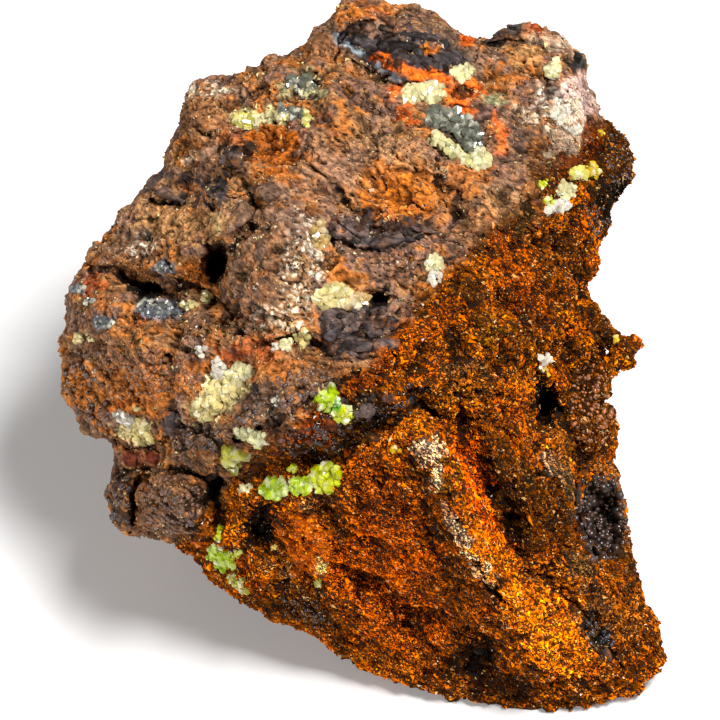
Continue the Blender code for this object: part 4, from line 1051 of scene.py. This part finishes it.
class Nodes:
    """Short ways to add and link a material's nodes."""

    def __init__(self, tree):
        self.tree = tree

    def add(self, kind, **values):
        node = self.tree.nodes.new("ShaderNode" + kind)
        for name, value in values.items():
            if hasattr(node, name):
                setattr(node, name, value)
            else:
                node.inputs[name.replace("_", " ")].default_value = value
        return node

    def link(self, source, target):
        self.tree.links.new(source, target)

    def math(self, operation, first, second):
        node = self.add("Math", operation=operation)
        for socket, value in zip(node.inputs, (first, second)):
            if isinstance(value, (int, float)):
                socket.default_value = value
            else:
                self.link(value, socket)
        return node.outputs["Value"]

    def ramp(self, value, low, high, start, end):
        node = self.add("MapRange", From_Min=low, From_Max=high, To_Min=start, To_Max=end)
        self.link(value, node.inputs["Value"])
        return node.outputs["Result"]

    def attribute(self, name, output="Fac"):
        return self.add("Attribute", attribute_name=name).outputs[output]

    def times(self, colour, factor):
        node = self.add("VectorMath", operation="SCALE")
        self.link(colour, node.inputs[0])
        self.link(factor, node.inputs["Scale"])
        return node.outputs["Vector"]


def new_material(name, roughness):
    """A material, its nodes and its shader."""
    material = bpy.data.materials.new(name)
    material.use_nodes = True
    shader = material.node_tree.nodes["Principled BSDF"]
    shader.inputs["Roughness"].default_value = roughness
    return material, Nodes(material.node_tree), shader


def rock_material():
    """Porous rock: its painted colour, mottled, with painted shade in its pores, and fine bumps."""
    material, nodes, shader = new_material("limonite", 0.8)
    place = nodes.attribute("fabric", "Vector")
    mottle = nodes.add("TexNoise", Scale=2600.0, Detail=6.0, Roughness=0.75)
    nodes.link(place, mottle.inputs["Vector"])
    bend = nodes.add("TexNoise", Scale=1100.0, Detail=2.0)
    nodes.link(place, bend.inputs["Vector"])
    bent = nodes.add("VectorMath", operation="MULTIPLY_ADD")
    nodes.link(bend.outputs["Color"], bent.inputs[0])
    bent.inputs[1].default_value = (0.0006, 0.0006, 0.0006)
    nodes.link(place, bent.inputs[2])
    cells = nodes.add("TexVoronoi", Scale=2400.0)
    nodes.link(bent.outputs["Vector"], cells.inputs["Vector"])
    chance = nodes.add("SeparateColor")
    nodes.link(cells.outputs["Color"], chance.inputs["Color"])
    width = nodes.ramp(chance.outputs["Red"], 0.35, 1.0, 0.0, 0.4)
    depth = nodes.math("DIVIDE", nodes.math("SUBTRACT", width, cells.outputs["Distance"]), 0.14)
    pore = nodes.math("MINIMUM", nodes.math("MAXIMUM", depth, 0.0), 1.0)
    pore = nodes.math("MULTIPLY", pore, nodes.attribute("porous"))
    shade = nodes.ramp(mottle.outputs["Fac"], 0.36, 0.64, 0.2, 1.8)
    # painted shade: pores darken the colour down to 0.12 of it
    shade = nodes.math("MULTIPLY", shade, nodes.ramp(pore, 0.0, 1.0, 1.0, 0.12))
    nodes.link(nodes.times(nodes.attribute("colour", "Color"), shade), shader.inputs["Base Color"])
    nodes.link(nodes.attribute("roughness"), shader.inputs["Roughness"])
    shader.inputs["Specular IOR Level"].default_value = 0.15
    shader.inputs["Specular Tint"].default_value = (1, 0.85, 0.7, 1)
    height = nodes.math("SUBTRACT", mottle.outputs["Fac"], nodes.math("MULTIPLY", pore, 1.2))
    bump = nodes.add("Bump", Strength=0.9, Distance=0.16 * MM)
    nodes.link(height, bump.inputs["Height"])
    nodes.link(bump.outputs["Normal"], shader.inputs["Normal"])
    return material


def grain_material(name, shine, tint=(1, 1, 1)):
    """Grains and knobs, each in its own colour and roughness. The tint is that of their shine."""
    material, nodes, shader = new_material(name, 0.5)
    nodes.link(nodes.attribute("colour", "Color"), shader.inputs["Base Color"])
    nodes.link(nodes.attribute("roughness"), shader.inputs["Roughness"])
    shader.inputs["Specular IOR Level"].default_value = shine
    shader.inputs["Specular Tint"].default_value = (*tint, 1)
    return material


def crystal_material(name, through, roughness, shine):
    """Crystals, each in its own colour, that let a share of the light through."""
    material, nodes, shader = new_material(name, roughness)
    nodes.link(nodes.attribute("colour", "Color"), shader.inputs["Base Color"])
    shader.inputs["Transmission Weight"].default_value = through
    shader.inputs["IOR"].default_value = CRYSTAL_BEND
    shader.inputs["Specular IOR Level"].default_value = shine
    return material


# Grains

def scatter(surface, density, spacing, chance):
    """Random places on the surface, about density a square millimetre and not closer than spacing."""
    places, normals, triangles, shade = surface
    corners = places[triangles]
    area = np.linalg.norm(np.cross(corners[:, 1] - corners[:, 0], corners[:, 2] - corners[:, 0]), axis=1) / 2
    weight = area * density
    total = weight.sum()
    chosen = chance.choice(len(triangles), int(total), p=weight / total)
    first, second = chance.random((2, len(chosen)))
    over = first + second > 1
    first[over] = 1 - first[over]
    second[over] = 1 - second[over]
    shares = np.stack([1 - first - second, first, second], -1)[:, :, None]
    spots = (corners[chosen] * shares).sum(1)
    facing = unit((normals[triangles[chosen]] * shares).sum(1))
    shade = (shade[triangles[chosen]] * shares[:, :, 0]).sum(1)
    _, kept = np.unique(np.floor(spots / spacing).astype(int), axis=0, return_index=True)
    kept.sort()
    return spots[kept], facing[kept], shade[kept]


def grain_mesh(name, shape, spots, facing, sizes, colours, roughness, chance,
               jitter=GRAIN_JITTER, stretch=GRAIN_STRETCH):
    """Many small shapes as one mesh, each turned at random about the surface's normal."""
    corners = np.array(shape[0], float)
    count = len(spots)
    axis = unit(facing + GRAIN_LEAN * chance.normal(size=(count, 3)) / sqrt(3))
    side = FABRIC + 0.5 * chance.normal(size=(count, 3))
    side = unit(side - axis * (side * axis).sum(1)[:, None])
    other = np.cross(axis, side)
    local = corners[None] * (1 + jitter * chance.normal(size=(count, len(corners), 3)))
    local = local * sizes[:, None, None] / 2
    local = local * chance.uniform(0.75, 1.3, (count, 1, 3)) * stretch
    world = (spots[:, None] + local[..., :1] * side[:, None] + local[..., 1:2] * other[:, None]
             + local[..., 2:] * axis[:, None])
    world[..., 2] = np.maximum(world[..., 2], 0)
    mesh = mesh_of_shapes(name, world, np.array(shape[1]))
    set_colours(mesh, np.repeat(colours, len(corners), 0))
    set_values(mesh, "roughness", np.repeat(roughness, len(corners)))
    return add_thing(name, mesh)


def add_grains(surface, name, shape, density, spacing, size, spread, glints, chance):
    """A field of grains on the rock, each in its patch's colour, lighter or darker at random, with painted
    shade in hollows, painted light on the lower half and painted glints.
    """
    spots, facing, shade = scatter(surface, density, spacing, chance)
    x, y = seen_at(spots)
    row = paint(x, y, spots, smooth_step(-0.1, 0.25, facing @ TOWARDS))
    # painted light: the lower half's grains are made brighter and warmer
    painted_light = 1 + lower_half(x, y, spots)[:, None] * (LOWER_LIGHT - 1)
    kept = chance.random(len(spots)) < row[:, GRAINS]
    spots, facing, shade, row, painted_light = (values[kept] for values in (spots, facing, shade, row, painted_light))
    colours = row[:, :3] * painted_light * np.exp(spread * chance.normal(size=(len(spots), 1)))
    colours *= np.exp(0.04 * chance.normal(size=(len(spots), 3)))
    # painted glints: some grains are lightened towards the glint colour, and made glossy
    lit = chance.random(len(spots)) < glints
    colours[lit] = mix(colours[lit], linear("glint"), 0.45)
    # painted shade: grains in the rock's hollows are darker
    colours *= shade[:, None]
    sizes = size * np.exp(0.35 * chance.normal(size=len(spots)))
    roughness = np.clip(row[:, ROUGHNESS] * chance.uniform(0.6, 1.3, len(spots)), 0.3, 1)
    roughness[lit] = 0.25
    return grain_mesh(name, shape, spots, facing, sizes, colours, roughness, chance)


def add_specks(surface, name, density, size, chance):
    """Small pale crystals here and there, in loose swarms."""
    spots, facing, _ = scatter(surface, density, 0.2, chance)
    swarm = noise_at(spots + 200, 3.0, 3) + 0.2
    row = paint(*seen_at(spots), spots, np.ones(len(spots)))
    dark = row[:, :3].sum(1) < 0.03
    kept = (chance.random(len(spots)) < np.clip(swarm * 1.6, 0.05, 1)) & ~dark
    spots, facing = spots[kept], facing[kept]
    count = len(spots)
    palette = np.array([linear(colour) for colour in SPECK_COLOURS])
    colours = palette[chance.integers(len(palette), size=count)] * chance.uniform(0.6, 1.25, (count, 1))
    sizes = size * np.exp(0.4 * chance.normal(size=count))
    roughness = chance.uniform(0.2, 0.6, count)
    return grain_mesh(name, CHIP, spots, facing, sizes, colours, roughness, chance)


def add_grain_fields(surface, look_rows, lower, glossy, chance):
    """The rock's grains: golden druse on the lower half, crumbs and pale druse on the rest."""
    triangles = surface.triangles
    middles = surface.places[triangles].mean(1)
    facing = surface.normals[triangles].mean(1) @ TOWARDS
    x, _ = seen_at(middles)
    bare = 1 - lower[triangles].mean(1)
    druse = bare * smooth_step(0.85, 0.97, look_rows[:, GRAINS][triangles].mean(1))
    above_floor = smooth_step(0.3, 0.7, middles[:, 2])
    seen = smooth_step(-0.1, 0.15, facing) * above_floor
    behind = (1 - smooth_step(-0.1, 0.15, facing)) * above_floor
    clumps = np.clip(0.3 + 1.6 * noise_at(middles + 300, 1.8, 3), 0, 1)
    golden = seen * (1 - bare)
    left, right = DRUSE_CUTS
    crumbs = grain_material("crumbs", 0.25, (1, 0.9, 0.8))
    gold = grain_material("golden grains", 0.0)
    # material, shape, grains a square millimetre, spacing, size, spread of shades, share of painted glints
    fields = {
        "druse_grains_left": (gold, CRUMB, 20 * golden * (x < left), 0.17, 0.26, 0.5, 0.03),
        "druse_grains_middle": (gold, CRUMB, 20 * golden * (x >= left) * (x < right), 0.17, 0.26, 0.5, 0.03),
        "druse_grains_right": (gold, CRUMB, 18 * golden * (x >= right), 0.17, 0.27, 0.5, 0.03),
        "druse_glints": (glossy, CHIP, 1.6 * golden, 0.2, 0.2, 0.3, 0.8),
        "rock_crumbs_front": (crumbs, CRUMB, 8 * seen * bare * clumps, 0.2, 0.22, 0.5, 0.06),
        "pale_druse": (crumbs, SHARD, 22 * seen * druse, 0.16, 0.28, 0.4, 0.0),
        "rock_crumbs_back": (crumbs, CRUMB, 4 * behind * clumps, 0.3, 0.42, 0.4, 0.0),
    }
    for name, (material, *sizes) in fields.items():
        add_piece(add_grains(surface, name, *sizes, chance), material, "limonite")
    specks = add_specks(surface, "pale_specks", (0.5 + 4.0 * bare) * seen, 0.2, chance)
    add_piece(specks, crumbs, "limonite")


def finder(surface):
    """A function that carries pixels of the photograph to the rock: places and normals."""
    tree = BVHTree.FromPolygons(surface.places.tolist(), surface.triangles.tolist())

    def find(x, y):
        sight = Vector(on_outline_plane(x, y) - EYE).normalized()
        place, _, number, _ = tree.ray_cast(Vector(EYE), sight)
        if place is None:
            return None
        return np.array(place), unit(surface.normals[surface.triangles[number]].mean(0))

    return find


# Stones and flakes

def stone_mesh(name, stones, rough, find, chance):
    """Stones as one mesh: angular blocks, thin plates and rounded knobs."""
    rays, faces = ball_shape(STONE_ROUNDS)
    parts = []
    rows = []
    for x, y, half_length, half_width, turn, height, kind, colour in stones:
        hit = find(x, y)
        if hit is None:
            continue
        place, normal = hit
        if kind == "knob":
            body = rays * (0.9 + 0.35 * noise_at(rays + place, 0.8, 3))[:, None]
        else:
            cuts = unit(chance.normal(size=(BLOCK_CUTS, 3)))
            reach = (rays @ cuts.T / chance.uniform(0.5, 0.8, BLOCK_CUTS)).max(1)
            body = rays / np.maximum(reach, 0.7)[:, None]
        out = unit(normal if kind == "plate" else 2 * normal + TOWARDS)
        along = cos(radians(turn)) * RIGHT + sin(radians(turn)) * UP
        along = unit(along - out * (along @ out))
        aside = np.cross(out, along)
        sunk = (SUNK_PLATE if kind == "plate" else SUNK_STONE) * height
        part = (place - sunk * out + body[:, :1] * half_length * PIXEL * along
                + body[:, 1:2] * half_width * PIXEL * aside + body[:, 2:] * height * out)
        uneven = rough * (1 if kind == "knob" else 0.4)
        part += rays * (uneven * (0.3 * noise_at(part, 1.1, 2) + 0.2 * noise_at(part, 0.45, 3)))[:, None]
        part[:, 2] = np.maximum(part[:, 2], 0)
        ground = paint(*seen_at(part), part, np.ones(len(part)))
        row = mix(ground, look(colour), smooth_step(-0.5, 0.1, noise_at(part, 1.2, 3))[:, None])
        row[:, :3] *= np.clip(1 + 1.2 * noise_at(part, 0.8, 3), 0.35, 1.8)[:, None]
        parts.append(part)
        rows.append(row)
    mesh = mesh_of_shapes(name, np.array(parts), faces)
    row = np.concatenate(rows)
    set_colours(mesh, row[:, :3])
    set_values(mesh, "roughness", row[:, ROUGHNESS])
    set_fabric(mesh)
    set_values(mesh, "porous", 0.6 * smooth_step(0.2, 0.35, row[:, GRAINS]))
    return add_thing(name, mesh)


def flakes(chance):
    """The flakes as rows like those of the stones."""
    colours = ["slate", "slate", "purple grey", "black", "dark brown"]
    rows = []
    for x, y, half_length, half_width, turn, count in FLAKES:
        for out, angle in spiral(count):
            place = in_oval(x, y, half_length * out * cos(angle), half_width * out * sin(angle), turn)
            half = chance.uniform(4, 9)
            half_wide = half * chance.uniform(0.5, 0.9)
            flake_turn = turn + chance.normal(0, 35)
            height = chance.uniform(0.4, 0.7)
            rows.append((*place, half, half_wide, flake_turn, height, "plate", str(chance.choice(colours))))
    return rows


def add_stones(material, find, chance):
    flake_rows = flakes(chance)
    stones = stone_mesh("stones", STONES.values(), 1, find, chance)
    stones.data.shade_smooth()
    add_piece(stones, material, "limonite")
    add_piece(stone_mesh("flakes", flake_rows, 0.4, find, chance), material, "limonite")


# Crystals

def crystal_shapes(chance):
    """Several blunt crystals, none grown alike on all its faces, as closed meshes."""
    a, b, c = CELL
    prism = [(x / a, y / b, 0) for x in (1, -1) for y in (1, -1)]
    domes = [(x / a, 0, z / c) for x in (1, -1) for z in (1, -1)]
    bevels = [(x / a, 2 * y / b, z / c) for x in (1, -1) for y in (1, -1) for z in (1, -1)]
    shapes = []
    for number in range(CRYSTAL_KINDS):
        work = bmesh.new()
        bmesh.ops.create_cube(work, size=4)
        for face in prism + domes + bevels:
            direction = Vector(face).normalized()
            distance = (0.5 + 0.5 * (CRYSTAL_STRETCH - 1) * abs(direction.z)) * chance.uniform(0.82, 1.1)
            everything = [*work.verts, *work.edges, *work.faces]
            cut = bmesh.ops.bisect_plane(work, geom=everything, plane_co=direction * distance,
                                         plane_no=direction, clear_outer=True)
            rim = [piece for piece in cut["geom_cut"] if isinstance(piece, bmesh.types.BMEdge)]
            if rim:
                bmesh.ops.edgeloop_fill(work, edges=rim)
        mesh = bpy.data.meshes.new(f"crystal_{number}")
        work.to_mesh(mesh)
        work.free()
        shapes.append(mesh)
    return shapes


def place_crystal(place, normal, size, shapes, chance):
    """One crystal, leaning at random, half sunk into the rock."""
    axis = Vector(normal + CRYSTAL_LEAN * chance.normal(size=3) / sqrt(3)).normalized()
    spin = Matrix.Rotation(chance.uniform(0, 2 * pi), 3, "Z")
    turned = (axis.to_track_quat("Z", "Y").to_matrix() @ spin).to_4x4()
    wide = CRYSTAL_SIZE * size * PIXEL * chance.uniform(0.65, 1.35)
    middle = Vector((place + normal * wide * chance.uniform(-0.1, 0.2)) * MM)
    crystal = bpy.data.objects.new("crystal", shapes[int(chance.integers(len(shapes)))])
    crystal.matrix_world = Matrix.Translation(middle) @ turned @ Matrix.Scale(wide * MM, 4)
    return crystal


def grown_together(name, crystals):
    """Crystals as one thing with one skin."""
    thing, *others = crystals
    parts = bpy.data.collections.new(name + "_crystals")
    bpy.context.scene.collection.children.link(parts)
    for crystal in others:
        parts.objects.link(crystal)
    bpy.context.scene.collection.objects.link(thing)
    thing.data = thing.data.copy()
    thing.data.transform(thing.matrix_world)
    thing.matrix_world = Matrix.Identity(4)
    modifier = thing.modifiers.new("Grown together", "BOOLEAN")
    modifier.operation = "UNION"
    modifier.solver = "MANIFOLD"
    modifier.operand_type = "COLLECTION"
    modifier.collection = parts
    apply_modifiers(thing)
    for crystal in others:
        bpy.data.objects.remove(crystal)
    bpy.data.collections.remove(parts)
    thing.name = name
    thing.data.name = name
    return thing


def make_cluster(name, lobes, find, shapes, chance):
    """A cluster of crystals, grown together and each in a shade of its own."""
    crystals = []
    middles = []
    colours = []
    for x, y, half_length, half_width, turn, size, count, colour in lobes:
        for out, angle in spiral(round(CRYSTAL_CROWD * count)):
            along = half_length * out * cos(angle) + chance.normal()
            aside = half_width * out * sin(angle) + chance.normal()
            if out * (1 + 0.5 * chance.normal()) > 1.1:
                continue
            hit = find(*in_oval(x, y, along, aside, turn))
            if hit is None:
                continue
            crystals.append(place_crystal(*hit, size, shapes, chance))
            middles.append(hit[0])
            colours.append(linear(CRYSTALS[colour]))
    thing = grown_together(name, crystals)
    pale = 0.6 * chance.uniform(0, 1, (len(colours), 1)) ** 5
    shades = np.array(colours) * chance.uniform(0.45, 1.05, (len(colours), 1))
    shades = mix(shades, linear("pale crystal"), pale)
    middles = np.array(middles)
    nearest = [np.argmin(((middles - place) ** 2).sum(1)) for place in places_of(thing.data)]
    set_colours(thing.data, shades[nearest])
    return thing


def add_clusters(find, chance):
    pale = crystal_material("adamite", through=0.2, roughness=0.15, shine=0.35)
    vivid = crystal_material("green adamite", through=0.1, roughness=0.2, shine=0.15)
    steel = crystal_material("steel", through=0.0, roughness=0.25, shine=0.35)
    shapes = crystal_shapes(chance)
    for name, lobes in CLUSTERS.items():
        cluster = make_cluster(name, lobes, find, shapes, chance)
        if "steel" in name:
            material, slot = steel, "dark_knobs"
        elif "green" in name or "nodule" in name or "lower" in name:
            material, slot = vivid, "green_adamite"
        else:
            material, slot = pale, "pale_adamite"
        replaced = [name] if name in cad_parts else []
        add_piece(cluster, material, slot, *replaced)


# Knobs

def knob_crust(name, crusts, rounds, find, chance):
    """Glossy knobs that crowd over ovals of the rock."""
    parts = []
    for x, y, half_length, half_width, turn, size, first, second in crusts:
        count = int(KNOB_CROWD * half_length * half_width * 4 * PIXEL ** 2 / size ** 2)
        for right, up in chance.uniform(-1, 1, (count, 2)):
            if right ** 2 + up ** 2 > chance.uniform(0.5, 1.3):
                continue
            hit = find(*in_oval(x, y, half_length * right, half_width * up, turn))
            if hit is None:
                continue
            place, normal = hit
            colour = mix(linear(first), linear(second), chance.uniform()) * chance.uniform(0.4, 1.5)
            wide = size * np.exp(0.3 * np.clip(chance.normal(), -1.5, 1.2))
            parts.append((place - KNOB_SUNK * wide * normal, normal, wide, colour))
    spots, facing, sizes, colours = (np.array(column) for column in zip(*parts))
    roughness = chance.uniform(0.15, 0.5, len(parts))
    thing = grain_mesh(name, ball_shape(rounds), spots, facing, sizes, colours, roughness, chance,
                       jitter=0.08, stretch=(1, 1, 1))
    thing.data.shade_smooth()
    return thing


def add_knobs(material, find, chance):
    """The vug's crust of dark knobs, which replaces its solid, and smaller knobs in other places."""
    crusts = dict(KNOB_CRUSTS)
    vug = [crusts.pop(name) for name in ("vug", "vug small", "vug tiny")]
    add_piece(knob_crust("dark_knobs", vug, 2, find, chance), material, "dark_knobs", "dark_knob_crust")
    add_piece(knob_crust("small_knobs", crusts.values(), 1, find, chance), material, "limonite")


# The whole specimen

def make_specimen():
    chance = np.random.default_rng(SEED)
    rock = main_rock()
    surface, look_rows, lower = paint_rock(rock)
    stone = rock_material()
    glossy = grain_material("glossy knobs", 0.5)
    add_piece(rock, stone, "limonite", "limonite_matrix")
    add_grain_fields(surface, look_rows, lower, glossy, chance)
    find = finder(surface)
    add_stones(stone, find, chance)
    add_clusters(find, chance)
    add_knobs(glossy, find, chance)


# The studio

def add_light(name, right, up, towards, distance, size, power):
    light = bpy.data.lights.new(name, "AREA")
    light.size = size
    light.energy = power
    lamp = add_thing(name, light)
    direction = Vector(right * RIGHT + up * UP + towards * TOWARDS).normalized()
    lamp.location = LIGHTS_AIM + direction * distance
    lamp.rotation_euler = direction.to_track_quat("Z", "Y").to_euler()


def make_studio():
    scene = bpy.context.scene
    scene.view_settings.view_transform = "Standard"
    bpy.ops.mesh.primitive_plane_add(size=6)
    floor = bpy.context.object
    floor.name = "floor"
    material, _, shader = new_material("floor", 0.9)
    shader.inputs["Base Color"].default_value = FLOOR_COLOUR
    floor.data.materials.append(material)
    world = bpy.data.worlds.new("studio")
    scene.world = world
    world.use_nodes = True
    background = world.node_tree.nodes["Background"]
    background.inputs["Color"].default_value = (1, 1, 1, 1)
    background.inputs["Strength"].default_value = SKY_STRENGTH
    for name, numbers in LIGHTS.items():
        add_light(name, *numbers)


def make_camera():
    lens = bpy.data.cameras.new("camera")
    lens.sensor_width = SENSOR
    lens.lens = SENSOR * VIEW_DISTANCE / (PICTURE_SIZE * PIXEL)
    lens.clip_start = 0.01
    camera = add_thing("camera", lens)
    bpy.context.scene.camera = camera
    eye = Vector(EYE * MM)
    aim = Vector(on_outline_plane(PICTURE_SIZE / 2, PICTURE_SIZE / 2) * MM)
    back = (eye - aim).normalized()
    across = Vector((0, 0, 1)).cross(back).normalized()
    turned = Matrix((across, back.cross(across), back)).transposed().to_4x4()
    camera.matrix_world = Matrix.Translation(eye) @ turned


make_studio()
make_camera()
make_specimen()
